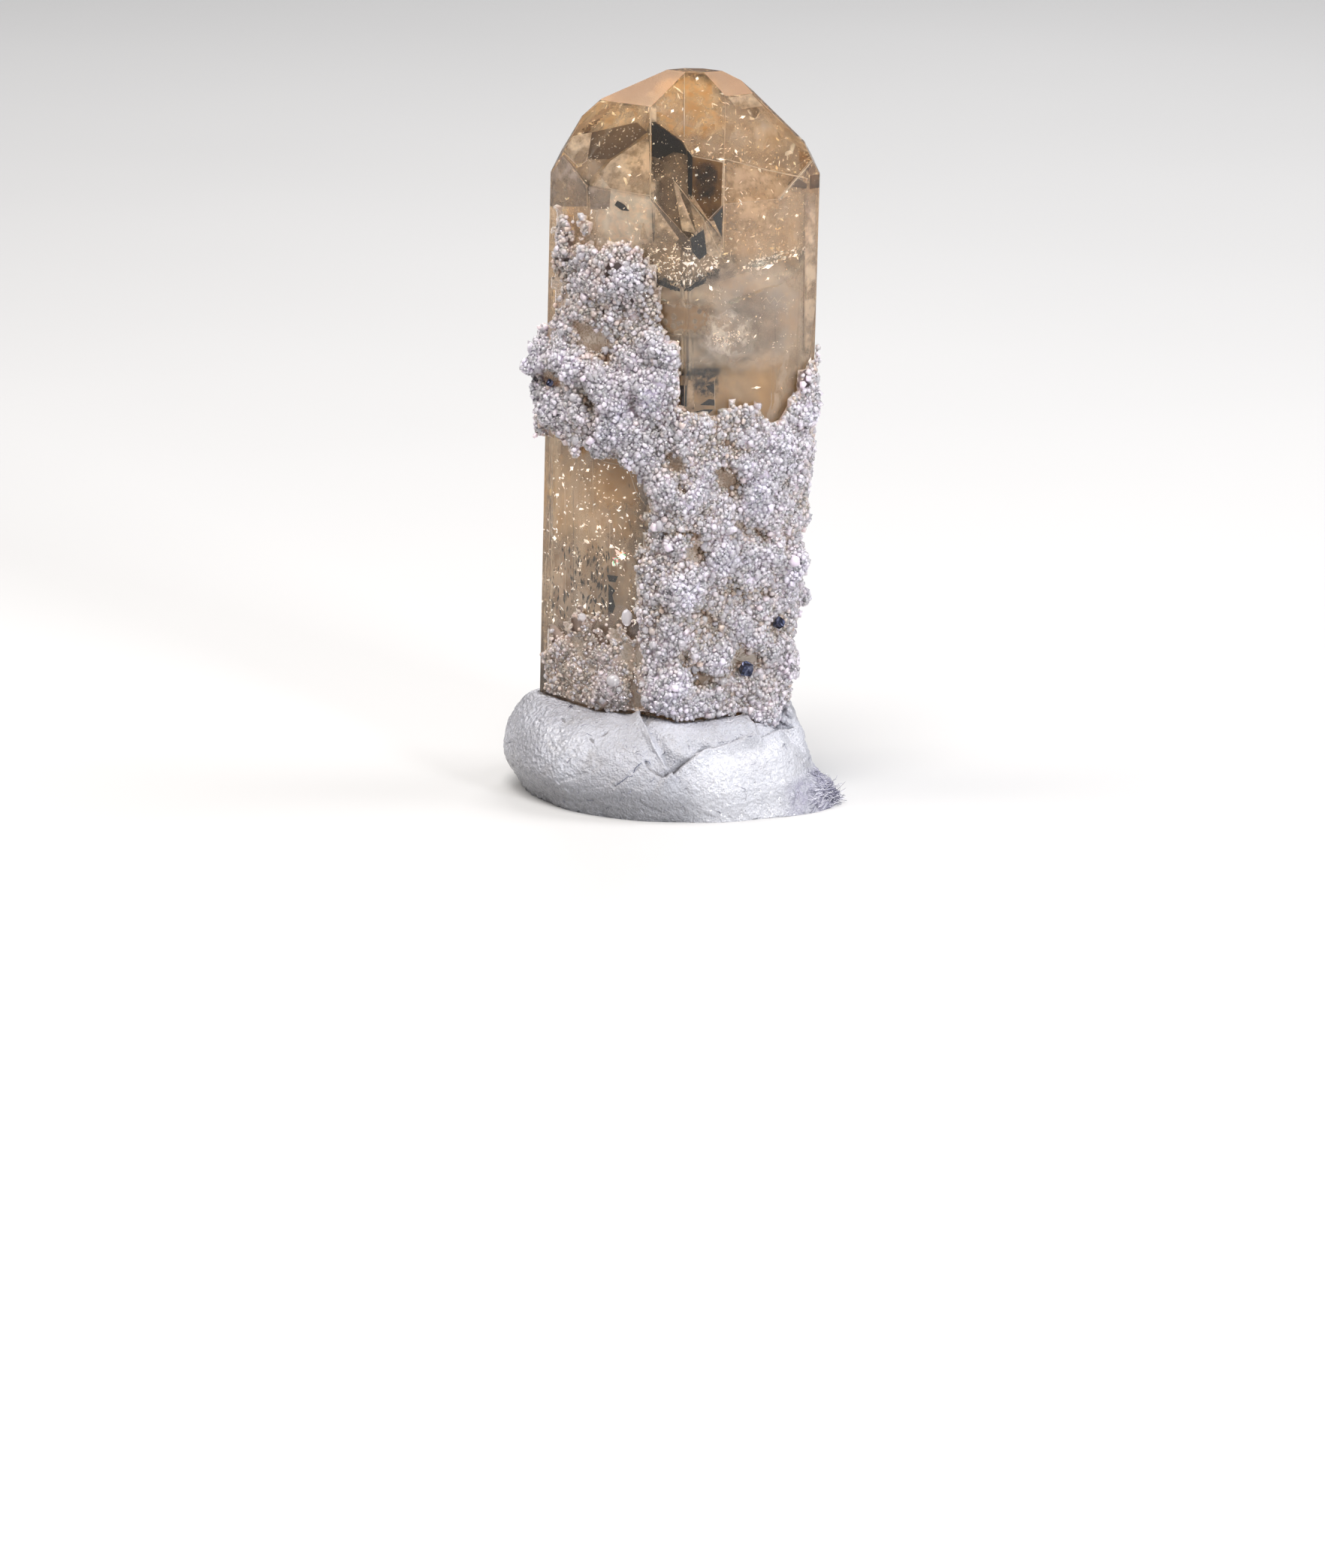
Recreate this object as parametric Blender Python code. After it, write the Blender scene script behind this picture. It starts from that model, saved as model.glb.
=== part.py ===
"""A topaz crystal with a quartz crust on it, standing upright in a lump of putty.

Blender 4.5, metres, +Z up. The front of the crystal looks along -Y. The origin is on the putty's
flat underside, below the middle of the crystal. Shapes are worked out in millimetres.
"""
import math
import random

import bmesh
import bpy
from mathutils import Euler, Matrix, Vector, noise

MM = 0.001
SEED = 4

# The topaz lattice: lengths along its a, b and c axes. They give every face its slope.
LATTICE_A = 4.65
LATTICE_B = 8.80
LATTICE_C = 8.40

# How the crystal stands: axis offset on the base in mm, and its lean and turn in degrees.
AXIS_X = 0.117
AXIS_Y = 0.013
LEAN_FRONT = 1.92
LEAN_RIGHT = 1.12
TURN = 0.33

# Each family of faces: its index (h, k, l), and how far its left and right faces lie from the
# middle of the crystal's base, in mm. The front and the back have the same faces.
TOP = ((0, 0, 1), 12.11, 12.11)
FROSTED_ROOF = ((1, 1, 2), 8.58, 8.66)
FRONT_SLOPE = ((1, 0, 1), 6.00, 6.00)
STEEP_SHOULDER = ((1, 1, 1), 5.69, 5.71)
SIDE_DOME = ((0, 1, 1), 9.35, 9.26)
STEEP_SIDE = ((0, 2, 1), 6.75, 6.80)
MAIN_PRISM = ((1, 1, 0), 1.31, 1.38)
SIDE_PRISM = ((1, 2, 0), 1.59, 1.62)
FACE_FAMILIES = (TOP, FROSTED_ROOF, FRONT_SLOPE, STEEP_SHOULDER, SIDE_DOME, STEEP_SIDE,
                 MAIN_PRISM, SIDE_PRISM)

# The right-hand edge is blunt above, and broken away in a slant below.
RIGHT_EDGE = 2.205
BREAK_TOP_HEIGHT = 7.45
BREAK_FOOT_HEIGHT = 1.00
BREAK_FOOT_X = 1.77
ROOT_HEIGHT = 0.53
ROOT_SLANT = 0.02

# The block that the faces are cut from: its sides and its height, in mm.
ROUGH_BLOCK = (6.0, 5.0, 14.0)

# The crust: its cells, its gap to the topaz, and its thickness, all in mm.
CELL = 0.118
CRUST_GAP = 0.020
THIN_CRUST = 0.060
FULL_CRUST = 0.120
EDGE_CRUST = 0.045
EDGE_FADE = 0.16
THINNEST_SHARE = 0.8
# Each chance wave, here and in the putty: how far it reaches in mm, and its waves per mm.
SHEET_WAVE = (0.03, 2.2)
RAGGED_ACROSS = (0.12, 4.0)
RAGGED_UP = (0.22, 3.0)
# How far a grid corner may stray, as a share of its cell.
STRAY = 0.24

# The crust's outline. The first value runs across the front, and on round the sides to the back
# by the crystal's own width; the broken edge is EDGE_SPAN wide. The second is the height.
EDGE_SPAN = 0.60
CRUST_OUTLINE = (
    (-2.05, 9.72), (-1.60, 9.80), (-1.48, 9.40), (-0.85, 9.50), (-0.48, 9.15), (-0.30, 8.10),
    (0.05, 7.95), (-0.05, 7.00), (0.15, 6.85), (0.50, 6.68), (0.82, 6.82), (1.50, 6.55),
    (1.86, 6.55), (1.98, 7.25), (2.30, 7.50), (3.15, 7.10), (3.60, 6.00), (4.00, 4.60),
    (3.80, 3.20), (4.40, 1.00), (-2.05, 1.00), (-2.05, 2.85), (-1.70, 3.05), (-0.93, 3.25),
    (-0.62, 3.20), (-0.64, 4.30), (-0.46, 4.65), (-0.50, 5.35), (-0.98, 5.78), (-1.82, 5.90),
    (-2.19, 6.15), (-2.75, 6.40), (-2.90, 7.05), (-2.60, 7.55), (-2.05, 7.85))

# Large lumps that have a place of their own: across, height, radius, how far they stand out.
NAMED_LUMPS = (
    (-2.19, 6.95, 0.46, 0.12), (-1.72, 7.22, 0.36, 0.17), (-1.80, 6.45, 0.38, 0.14),
    (-1.12, 6.95, 0.44, 0.22), (-0.92, 6.35, 0.40, 0.20), (-0.62, 5.90, 0.32, 0.17),
    (-0.30, 5.50, 0.28, 0.15), (-0.45, 7.10, 0.32, 0.15), (-0.25, 7.75, 0.24, 0.12),
    (-1.85, 9.25, 0.26, 0.06), (-1.30, 8.75, 0.28, 0.10), (-0.70, 8.60, 0.26, 0.12),
    (1.18, 5.15, 0.34, 0.17), (0.72, 4.30, 0.32, 0.14), (0.05, 3.70, 0.30, 0.16),
    (1.75, 5.90, 0.28, 0.12), (2.45, 5.75, 0.24, 0.06), (2.45, 3.30, 0.16, 0.26),
    (2.40, 2.35, 0.16, 0.08), (2.06, 7.22, 0.16, 0.07), (-1.05, 2.05, 0.24, 0.12),
    (-0.25, 1.95, 0.32, 0.16))
# Brown pits and one open crack in the crust: across, height, half width, half height.
PITS = ((0.83, 5.52, 0.20, 0.13), (-0.05, 5.88, 0.17, 0.13), (0.05, 4.62, 0.30, 0.07),
        (0.55, 2.20, 0.26, 0.16), (1.50, 3.55, 0.15, 0.22), (-1.35, 6.62, 0.16, 0.20))
# Small lumps: how many, where they may lie, how wide they are, and how far they stand out as a
# share of their radius, on the full crust and on its patchy parts.
SMALL_LUMPS = 150
LUMPS_ACROSS = (-2.9, 4.3)
LUMPS_UP = (1.2, 9.8)
LUMP_RADIUS = (0.13, 0.25)
LUMP_RISE = 0.55
PATCHY_RISE = 0.25
RISE_SPREAD = (0.6, 1.2)
# Where the crust is only a thin, patchy sheet: across from and to, height from and to.
PATCHY_CRUST = ((-2.20, -0.60, 7.60, 8.55), (-2.20, -0.66, 1.00, 3.40), (-2.20, -1.60, 7.80, 9.80),
                (2.15, 2.90, 1.00, 7.60), (3.30, 4.50, 1.00, 7.20))

# Black metallic grains on the crust: across, height, size, turn in degrees.
BLACK_GRAINS = ((1.14, 2.36, 0.125, 20.0), (1.66, 3.05, 0.095, 50.0), (-1.98, 6.90, 0.060, 35.0))
GRAIN_SEAT = 0.075
GRAIN_CLEARING = 0.16
GRAIN_GAP = 0.015
# A grain's shape: half its width as a share of its size, where its corners are cut, and its tilt.
GRAIN_HALF = 0.72
CORNER_CUT = 1.12
CUT_CORNERS = ((1, 1, 1), (-1, 1, 1), (1, -1, 1), (1, 1, -1), (-1, -1, 1), (0, 1, -1))
TILT_SHARE = 0.6
GRAIN_SPIN = 0.3

# The putty: its rim on the crystal, its pocket, and its outline at twelve angles from the right.
RIM_HEIGHT = 1.52
RIM_DIP = 0.36
RIM_DIP_PLACE = 1.55
RIM_DIP_WIDTH = 0.24
RIM_WAVE = (0.07, 1.3)
POCKET_GAP = 0.030
POCKET_FLOOR = 0.42
CRUST_ABOVE_RIM = 0.05
FOOT_RADIUS = (2.85, 2.35, 2.10, 2.00, 2.05, 2.20, 2.32, 2.25, 2.36, 2.48, 2.74, 3.16)
BELLY_RADIUS = (2.26, 2.26, 2.22, 2.15, 2.22, 2.45, 2.66, 2.60, 2.58, 2.60, 2.70, 2.74)
PUTTY_ROWS = 13
PUTTY_COLUMN = 0.135
PUTTY_WAVE = (0.03, 1.6)
# The putty's section below its rim: shares of the roll from the rim out to the belly, and shares
# of the rim's height.
ROLL_TOP = 0.34
ROLL_TOP_DROP = 0.02
ROLL_SIDE = 0.80
ROLL_SIDE_HEIGHT = 0.76
BELLY_HEIGHT = 0.40
TOE_SHARE = 0.65
TOE_HEIGHT = 0.13

# Folds in the front of the putty, as lines of (x, height), and how deep they are pressed.
LEFT_FOLD = ((-0.38, 1.56), (-0.20, 1.20), (0.05, 0.80))
LONG_FOLD = ((0.05, 0.80), (0.52, 1.06), (1.01, 1.20), (1.62, 1.24))
FOLD_DEPTH = 0.15
FOLD_WIDTH = 0.11
FLAP_RECESS = 0.10
FLAP_FADE = 0.25


def clear_scene():
    for old in list(bpy.data.objects):
        bpy.data.objects.remove(old, do_unlink=True)


def wave(reach_and_scale, spot):
    """A chance wave at a spot, in mm."""
    reach, scale = reach_and_scale
    return reach * noise.noise(spot * scale)


def material(name, colour, roughness, metallic=0.0, transmission=0.0, ior=1.5):
    mat = bpy.data.materials.new(name)
    mat.use_nodes = True
    shader = mat.node_tree.nodes["Principled BSDF"]
    shader.inputs["Base Color"].default_value = (*colour, 1.0)
    shader.inputs["Roughness"].default_value = roughness
    shader.inputs["Metallic"].default_value = metallic
    shader.inputs["Transmission Weight"].default_value = transmission
    shader.inputs["IOR"].default_value = ior
    return mat


def add_object(name, bm, mat, parent=None):
    """Turn a bmesh in millimetres into an object in metres."""
    bmesh.ops.recalc_face_normals(bm, faces=bm.faces)
    bm.transform(Matrix.Scale(MM, 4))
    mesh = bpy.data.meshes.new(name)
    bm.to_mesh(mesh)
    bm.free()
    mesh.materials.append(mat)
    obj = bpy.data.objects.new(name, mesh)
    bpy.context.scene.collection.objects.link(obj)
    obj.parent = parent
    return obj


def crystal_frame():
    """The matrix from the crystal's own frame, in mm, to the part's frame, in mm."""
    angles = Euler((math.radians(LEAN_FRONT), math.radians(LEAN_RIGHT), math.radians(TURN)), "ZYX")
    lean = angles.to_matrix().to_4x4()
    return lean @ Matrix.Translation((AXIS_X, AXIS_Y, 0.0))


def add_crystal_axis():
    """An empty that carries everything that leans with the crystal."""
    axis = bpy.data.objects.new("crystal_axis", None)
    bpy.context.scene.collection.objects.link(axis)
    frame = crystal_frame()
    axis.rotation_mode = "ZYX"
    axis.rotation_euler = frame.to_euler("ZYX")
    axis.location = frame.translation * MM
    return axis


# The topaz crystal


def face_normal(index):
    """The outward direction of a crystal face: b runs right, a runs to the front, c runs up."""
    h, k, l = index
    return Vector((k / LATTICE_B, -h / LATTICE_A, l / LATTICE_C)).normalized()


def crystal_faces():
    """Every face as (normal, distance), from the families above."""
    faces = []
    for (h, k, l), left, right in FACE_FAMILIES:
        for front in sorted({h, -h}):
            for side in sorted({k, -k}):
                distance = left if side < 0 else right
                faces.append((face_normal((front, side, l)), distance))
    faces.append((Vector((1.0, 0.0, 0.0)), RIGHT_EDGE))
    return faces


def break_slope():
    return (RIGHT_EDGE - BREAK_FOOT_X) / (BREAK_TOP_HEIGHT - BREAK_FOOT_HEIGHT)


def cut_away(bm, point, normal):
    """Cut off what lies beyond a plane, and close the cut with one flat face."""
    geometry = bm.verts[:] + bm.edges[:] + bm.faces[:]
    cut = bmesh.ops.bisect_plane(bm, geom=geometry, dist=1e-6, plane_co=point, plane_no=normal,
                                 clear_outer=True)
    rim = [item for item in cut["geom_cut"] if isinstance(item, bmesh.types.BMEdge)]
    if rim:
        bmesh.ops.contextual_create(bm, geom=rim)


def build_topaz(parent):
    bm = bmesh.new()
    bmesh.ops.create_cube(bm, size=1.0)
    block = Matrix.Diagonal((*ROUGH_BLOCK, 1.0))
    bm.transform(Matrix.Translation((0.0, 0.0, ROUGH_BLOCK[2] / 2)) @ block)
    for normal, distance in crystal_faces():
        cut_away(bm, normal * distance, normal)
    broken = Vector((1.0, 0.0, -break_slope())).normalized()
    cut_away(bm, Vector((RIGHT_EDGE, 0.0, BREAK_TOP_HEIGHT)), broken)
    root = Vector((ROOT_SLANT, ROOT_SLANT, -1.0)).normalized()
    cut_away(bm, Vector((0.0, 0.0, ROOT_HEIGHT)), root)
    bmesh.ops.remove_doubles(bm, verts=bm.verts, dist=1e-5)
    topaz = material("clear champagne topaz", (0.86, 0.62, 0.38), 0.03, 0.0, 1.0, 1.62)
    return add_object("topaz_crystal", bm, topaz, parent)


# The way round the crystal: its upright faces in order, seen from above


def right_edge_x(z):
    """How far out the right-hand edge stands at a height."""
    return RIGHT_EDGE - break_slope() * max(0.0, BREAK_TOP_HEIGHT - z)


FRONT_CORNER = 4
BROKEN_FACE = 6


def upright_faces(z):
    """The prism faces from the back middle, by the left side and the front, to the right back."""
    order = ((-1, -1, MAIN_PRISM), (-1, -1, SIDE_PRISM), (1, -1, SIDE_PRISM), (1, -1, MAIN_PRISM),
             (1, 1, MAIN_PRISM), (1, 1, SIDE_PRISM), None, (-1, 1, SIDE_PRISM),
             (-1, 1, MAIN_PRISM))
    lines = []
    for entry in order:
        if entry is None:
            lines.append((1.0, 0.0, right_edge_x(z)))
            continue
        front, side, ((h, k, l), left, right) = entry
        normal = face_normal((front * h, side * k, l))
        lines.append((normal.x, normal.y, left if side < 0 else right))
    return lines


def meet(first, second, offset):
    """Where two upright faces meet, both moved out by an offset."""
    ax, ay, ad = first
    bx, by, bd = second
    ad += offset
    bd += offset
    determinant = ax * by - ay * bx
    return Vector(((ad * by - bd * ay) / determinant, (ax * bd - bx * ad) / determinant))


def corners(z, offset):
    """The corners of the crystal's section, starting and ending at the back middle."""
    lines = upright_faces(z)
    back = meet(lines[-1], lines[0], offset)
    inner = [meet(lines[i], lines[i + 1], offset) for i in range(len(lines) - 1)]
    return [back] + inner + [back]


def columns(spacing):
    """Places round the crystal as (face number, share of the way along that face)."""
    nominal = corners(BREAK_FOOT_HEIGHT + 2.0, 0.0)
    places = []
    for face in range(len(nominal) - 1):
        length = (nominal[face + 1] - nominal[face]).length
        count = max(2, round(length / spacing))
        for step in range(count):
            places.append((face, step / count))
    return places


def across_values(places):
    """For each column, how far across it lies: x at the front, and on round to the back."""
    ring = corners(BREAK_TOP_HEIGHT, 0.0)
    widths = [abs(second.x - first.x) for first, second in zip(ring, ring[1:])]
    widths[BROKEN_FACE] = EDGE_SPAN
    start = ring[FRONT_CORNER].x - sum(widths[:FRONT_CORNER])
    return [start + sum(widths[:face]) + share * widths[face] for face, share in places]


def surface_point(place, z, offset):
    """The point on the crystal's side at a column, height and distance out."""
    face, share = place
    ring = corners(z, offset)
    flat = ring[face].lerp(ring[face + 1], share)
    return Vector((flat.x, flat.y, z))


# The quartz crust


def inside(outline, x, y):
    """Whether a point is inside an outline."""
    hit = False
    for (x1, y1), (x2, y2) in zip(outline, outline[1:] + outline[:1]):
        if (y1 > y) != (y2 > y) and x < (x2 - x1) * (y - y1) / (y2 - y1) + x1:
            hit = not hit
    return hit


def distance_to_line(points, x, y):
    """The distance from a point to a line through several points."""
    best = 1e9
    here = Vector((x, y))
    for start, end in zip(points, points[1:]):
        first = Vector(start)
        along = Vector(end) - first
        share = max(0.0, min(1.0, (here - first).dot(along) / along.length_squared))
        best = min(best, (first + along * share - here).length)
    return best


def place_at(across):
    """The column place that lies this far across, to within a cell."""
    places = columns(CELL)
    values = across_values(places)
    nearest = min(range(len(places)), key=lambda i: abs(values[i] - across))
    return places[nearest]


def all_lumps():
    """The named lumps, and small ones all over the crust, always in the same places."""
    dice = random.Random(SEED)
    spots = list(NAMED_LUMPS)
    while len(spots) < len(NAMED_LUMPS) + SMALL_LUMPS:
        across = dice.uniform(*LUMPS_ACROSS)
        height = dice.uniform(*LUMPS_UP)
        if inside(CRUST_OUTLINE, across, height):
            radius = dice.uniform(*LUMP_RADIUS)
            share = PATCHY_RISE if is_patchy(across, height) else LUMP_RISE
            spots.append((across, height, radius, radius * share * dice.uniform(*RISE_SPREAD)))
    return [(surface_point(place_at(across), height, 0.0), radius, rise)
            for across, height, radius, rise in spots]


def is_patchy(across, height):
    return any(a <= across <= b and c <= height <= d for a, b, c, d in PATCHY_CRUST)


def crust_thickness(across, height, spot, lumps):
    """How thick the crust is at a place: a sheet, lumps on it, pits in it, thin at its edge."""
    sheet = THIN_CRUST if is_patchy(across, height) else FULL_CRUST
    sheet += wave(SHEET_WAVE, spot)
    top = sheet
    for centre, radius, rise in lumps:
        share = 1.0 - (spot - centre).length_squared / radius ** 2
        if share > 0.0:
            top = max(top, sheet + rise * math.sqrt(share))
    for x, z, half_width, half_height in PITS:
        reach = math.hypot((across - x) / half_width, (height - z) / half_height)
        if reach < 1.0:
            top = min(top, EDGE_CRUST + (top - EDGE_CRUST) * reach ** 2)
    edge = distance_to_line(CRUST_OUTLINE + CRUST_OUTLINE[:1], across, height)
    top = EDGE_CRUST + (top - EDGE_CRUST) * min(1.0, edge / EDGE_FADE)
    for x, z, size, _ in BLACK_GRAINS:
        if math.hypot(across - x, height - z) < size + GRAIN_CLEARING:
            top = min(top, GRAIN_SEAT)
    return max(EDGE_CRUST * THINNEST_SHARE, top)


def rim_height(across):
    """How high the putty reaches up the crystal, with one dip at the front right."""
    dip = RIM_DIP * math.exp(-((across - RIM_DIP_PLACE) / RIM_DIP_WIDTH) ** 2)
    reach, scale = RIM_WAVE
    return RIM_HEIGHT + reach * noise.noise(Vector((across * scale, 0.0, 8.0))) - dip


def close_corner_touches(cells, wide, high):
    """Add cells where two meet only at a corner, so that the crust is one proper solid."""
    changed = True
    while changed:
        changed = False
        for i in range(1, wide):
            for j in range(1, high):
                a, b = (i - 1, j - 1) in cells, (i, j) in cells
                c, d = (i, j - 1) in cells, (i - 1, j) in cells
                if a and b and not c and not d:
                    cells.add((i, j - 1))
                    changed = True
                elif c and d and not a and not b:
                    cells.add((i, j))
                    changed = True


def largest_piece(cells):
    """The largest group of cells that hang together."""
    left = set(cells)
    best = set()
    while left:
        group = set()
        queue = [min(left)]
        while queue:
            cell = queue.pop()
            if cell not in left:
                continue
            left.discard(cell)
            group.add(cell)
            i, j = cell
            queue += [(i + 1, j), (i - 1, j), (i, j + 1), (i, j - 1)]
        if len(group) > len(best):
            best = group
    return best


def ragged(reach_and_scale, across, height, layer):
    """How far the crust's outline strays at a place, in mm."""
    reach, scale = reach_and_scale
    return reach * noise.noise(Vector((across * scale, height * scale, layer)))


def crust_cells(across, rows):
    """Which cells of the grid the crust covers."""
    cells = set()
    for i in range(len(across) - 1):
        middle = (across[i] + across[i + 1]) / 2
        for j in range(rows):
            height = crust_height(middle, j + 0.5)
            if inside(CRUST_OUTLINE, middle + ragged(RAGGED_ACROSS, middle, height, 5.0),
                      height + ragged(RAGGED_UP, middle, height, 9.0)):
                cells.add((i, j))
    close_corner_touches(cells, len(across), rows)
    return largest_piece(cells)


def crust_height(across, row):
    """The height of a grid row, counted up from just above the putty."""
    return rim_height(across) + CRUST_ABOVE_RIM + row * CELL


def crust_vertices(bm, used, places, across, lumps):
    """The inner and outer point of every grid corner that a cell uses."""
    dice = random.Random(SEED + 1)
    inner, outer = {}, {}
    for i, j in sorted(used):
        face, share = places[i]
        height = crust_height(across[i], j)
        if j > 0:
            height += CELL * dice.uniform(-STRAY, STRAY)
        width = places[i + 1][1] - share if places[i + 1][0] == face else 1.0 - share
        if share > 0.0:
            share += width * dice.uniform(-STRAY, STRAY)
        spot = surface_point((face, share), height, 0.0)
        thick = crust_thickness(across[i], height, spot, lumps)
        inner[i, j] = bm.verts.new(surface_point((face, share), height, CRUST_GAP))
        outer[i, j] = bm.verts.new(surface_point((face, share), height, CRUST_GAP + thick))
    return inner, outer


def cell_corners(i, j):
    return ((i, j), (i + 1, j), (i + 1, j + 1), (i, j + 1))


def add_outer_cell(bm, outer, ring):
    """Two triangles over one cell, split along the shorter way."""
    a, b, c, d = (outer[corner] for corner in ring)
    if (a.co - c.co).length < (b.co - d.co).length:
        bm.faces.new((a, b, c))
        bm.faces.new((a, c, d))
    else:
        bm.faces.new((a, b, d))
        bm.faces.new((b, c, d))


def build_crust(parent):
    places = columns(CELL)
    across = across_values(places)
    tallest = max(height for _, height in CRUST_OUTLINE)
    rows = round((tallest - RIM_HEIGHT + RIM_DIP) / CELL)
    cells = crust_cells(across, rows)
    lumps = all_lumps()
    used = {corner for cell in cells for corner in cell_corners(*cell)}
    bm = bmesh.new()
    inner, outer = crust_vertices(bm, used, places, across, lumps)
    inner_faces = []
    for i, j in sorted(cells):
        ring = cell_corners(i, j)
        add_outer_cell(bm, outer, ring)
        inner_faces.append(bm.faces.new([inner[corner] for corner in reversed(ring)]))
        for side, beside in zip(range(4), ((i, j - 1), (i + 1, j), (i, j + 1), (i - 1, j))):
            if beside not in cells:
                first, second = ring[side], ring[(side + 1) % 4]
                bm.faces.new((inner[first], inner[second], outer[second], outer[first]))
    merge_flat_back(bm, inner_faces)
    quartz = material("lavender white quartz", (0.72, 0.68, 0.70), 0.35)
    return add_object("quartz_crust", bm, quartz, parent)


def merge_flat_back(bm, faces):
    """Join the crust's back into one flat face for each crystal face that it lies on."""
    chosen = set(faces)
    edges = {edge for face in faces for edge in face.edges
             if all(other in chosen for other in edge.link_faces)}
    verts = {vert for edge in edges for vert in edge.verts
             if all(other in chosen for other in vert.link_faces)}
    bmesh.ops.dissolve_limit(bm, angle_limit=math.radians(0.5), verts=list(verts),
                             edges=list(edges))


# The black grains


def build_black_grain(number, spot, parent, mat):
    """A small cube with its corners cut, seated in a clearing in the crust."""
    across, height, size, turn = spot
    reach = CRUST_GAP + GRAIN_SEAT + GRAIN_GAP
    seat = surface_point(place_at(across), height, reach)
    out = surface_point(place_at(across), height, reach + 0.1) - seat
    out.normalize()
    half = size * GRAIN_HALF
    bm = bmesh.new()
    bmesh.ops.create_cube(bm, size=2.0 * half)
    angles = Euler((math.radians(turn), math.radians(turn * TILT_SHARE), GRAIN_SPIN))
    bm.transform(angles.to_matrix().to_4x4())
    for direction in CUT_CORNERS:
        normal = Vector(direction).normalized()
        cut_away(bm, normal * half * CORNER_CUT, normal)
    lowest = min(vert.co.dot(out) for vert in bm.verts)
    bm.transform(Matrix.Translation(seat - out * lowest))
    return add_object(f"black_grain_{number}", bm, mat, parent)


# The putty


def smooth_ring(values, angle):
    """A value at an angle, blended smoothly between values spaced evenly round a circle."""
    step = 2.0 * math.pi / len(values)
    place = (angle % (2.0 * math.pi)) / step
    low = int(place)
    share = place - low
    blend = share * share * (3.0 - 2.0 * share)
    return values[low % len(values)] * (1.0 - blend) + values[(low + 1) % len(values)] * blend


def putty_profile(rim_radius, rim_z, angle):
    """The putty's outside at one angle, as (radius, height) points from the rim to the foot."""
    belly = smooth_ring(BELLY_RADIUS, angle)
    foot = smooth_ring(FOOT_RADIUS, angle)
    roll = belly - rim_radius
    toe = belly * (1.0 - TOE_SHARE) + foot * TOE_SHARE
    return ((rim_radius, rim_z), (rim_radius + ROLL_TOP * roll, rim_z - ROLL_TOP_DROP),
            (rim_radius + ROLL_SIDE * roll, ROLL_SIDE_HEIGHT * rim_z),
            (belly, BELLY_HEIGHT * rim_z), (toe, TOE_HEIGHT * rim_z), (foot, 0.0))


def along_curve(points, share):
    """A smooth curve through points, from the first at 0 to the last at 1."""
    place = share * (len(points) - 1)
    low = min(int(place), len(points) - 2)
    t = place - low
    before = Vector(points[max(low - 1, 0)])
    first = Vector(points[low])
    second = Vector(points[low + 1])
    after = Vector(points[min(low + 2, len(points) - 1)])
    return 0.5 * (2.0 * first + (second - before) * t
                  + (2.0 * before - 5.0 * first + 4.0 * second - after) * t * t
                  + (3.0 * first - before - 3.0 * second + after) * t * t * t)


def fold_height(x):
    """The height of the long fold at a place across."""
    for (x1, z1), (x2, z2) in zip(LONG_FOLD, LONG_FOLD[1:]):
        if x1 <= x <= x2:
            return z1 + (z2 - z1) * (x - x1) / (x2 - x1)
    return None


def putty_press(x, y, z):
    """How far the putty's surface is pressed in at a point: folds, and the flap above them."""
    if y > 0.0:
        return 0.0
    near = min(distance_to_line(LEFT_FOLD, x, z), distance_to_line(LONG_FOLD, x, z))
    press = FOLD_DEPTH * math.exp(-(near / FOLD_WIDTH) ** 2)
    fold = fold_height(x)
    if fold is not None and z > fold:
        press += FLAP_RECESS * math.exp(-(z - fold) / FLAP_FADE)
    return press


def putty_point(rim, share):
    """A point on the outside of the putty, straight out from a point on its rim."""
    angle = math.atan2(rim.y, rim.x)
    outward = Vector((math.cos(angle), math.sin(angle), 0.0))
    radius, height = along_curve(putty_profile(rim.to_2d().length, rim.z, angle), share)
    spot = outward * radius + Vector((0.0, 0.0, height))
    reach, scale = PUTTY_WAVE
    bumps = reach * noise.noise(spot * scale + Vector((0.0, 0.0, 20.0)))
    fade = math.sin(math.pi * min(1.0, max(0.0, share)))
    return spot + outward * (bumps - putty_press(spot.x, spot.y, spot.z)) * fade


def build_putty():
    places = columns(PUTTY_COLUMN)
    across = across_values(places)
    frame = crystal_frame()
    rings = [[] for _ in range(PUTTY_ROWS + 2)]
    for place, value in zip(places, across):
        floor = frame @ surface_point(place, POCKET_FLOOR, POCKET_GAP)
        rim = frame @ surface_point(place, rim_height(value), POCKET_GAP)
        rings[0].append(floor)
        rings[1].append(rim)
        for row in range(1, PUTTY_ROWS + 1):
            rings[row + 1].append(putty_point(rim, row / PUTTY_ROWS))
    bm = bmesh.new()
    rows = [[bm.verts.new(spot) for spot in ring] for ring in rings]
    for upper, lower in zip(rows, rows[1:]):
        for i in range(len(upper)):
            after = (i + 1) % len(upper)
            bm.faces.new((upper[i], upper[after], lower[after], lower[i]))
    bm.faces.new(rows[0])
    for vert in rows[-1]:
        vert.co.z = 0.0
    bm.faces.new(rows[-1])
    white = material("white putty", (0.74, 0.73, 0.75), 0.55)
    return add_object("putty_base", bm, white)


clear_scene()
crystal_axis = add_crystal_axis()
build_topaz(crystal_axis)
build_crust(crystal_axis)
black = material("black metallic grain", (0.02, 0.022, 0.03), 0.3, 0.8)
for number, spot in enumerate(BLACK_GRAINS, start=1):
    build_black_grain(number, spot, crystal_axis, black)
build_putty()
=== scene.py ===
"""The looks of a topaz crystal with its quartz crust, standing in a lump of white putty.

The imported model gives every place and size, in metres. Fine shapes are worked out in millimetres.
"""
import math

import bmesh
import bpy
import numpy as np
from mathutils import Matrix, Vector, noise
from mathutils.bvhtree import BVHTree


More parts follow.
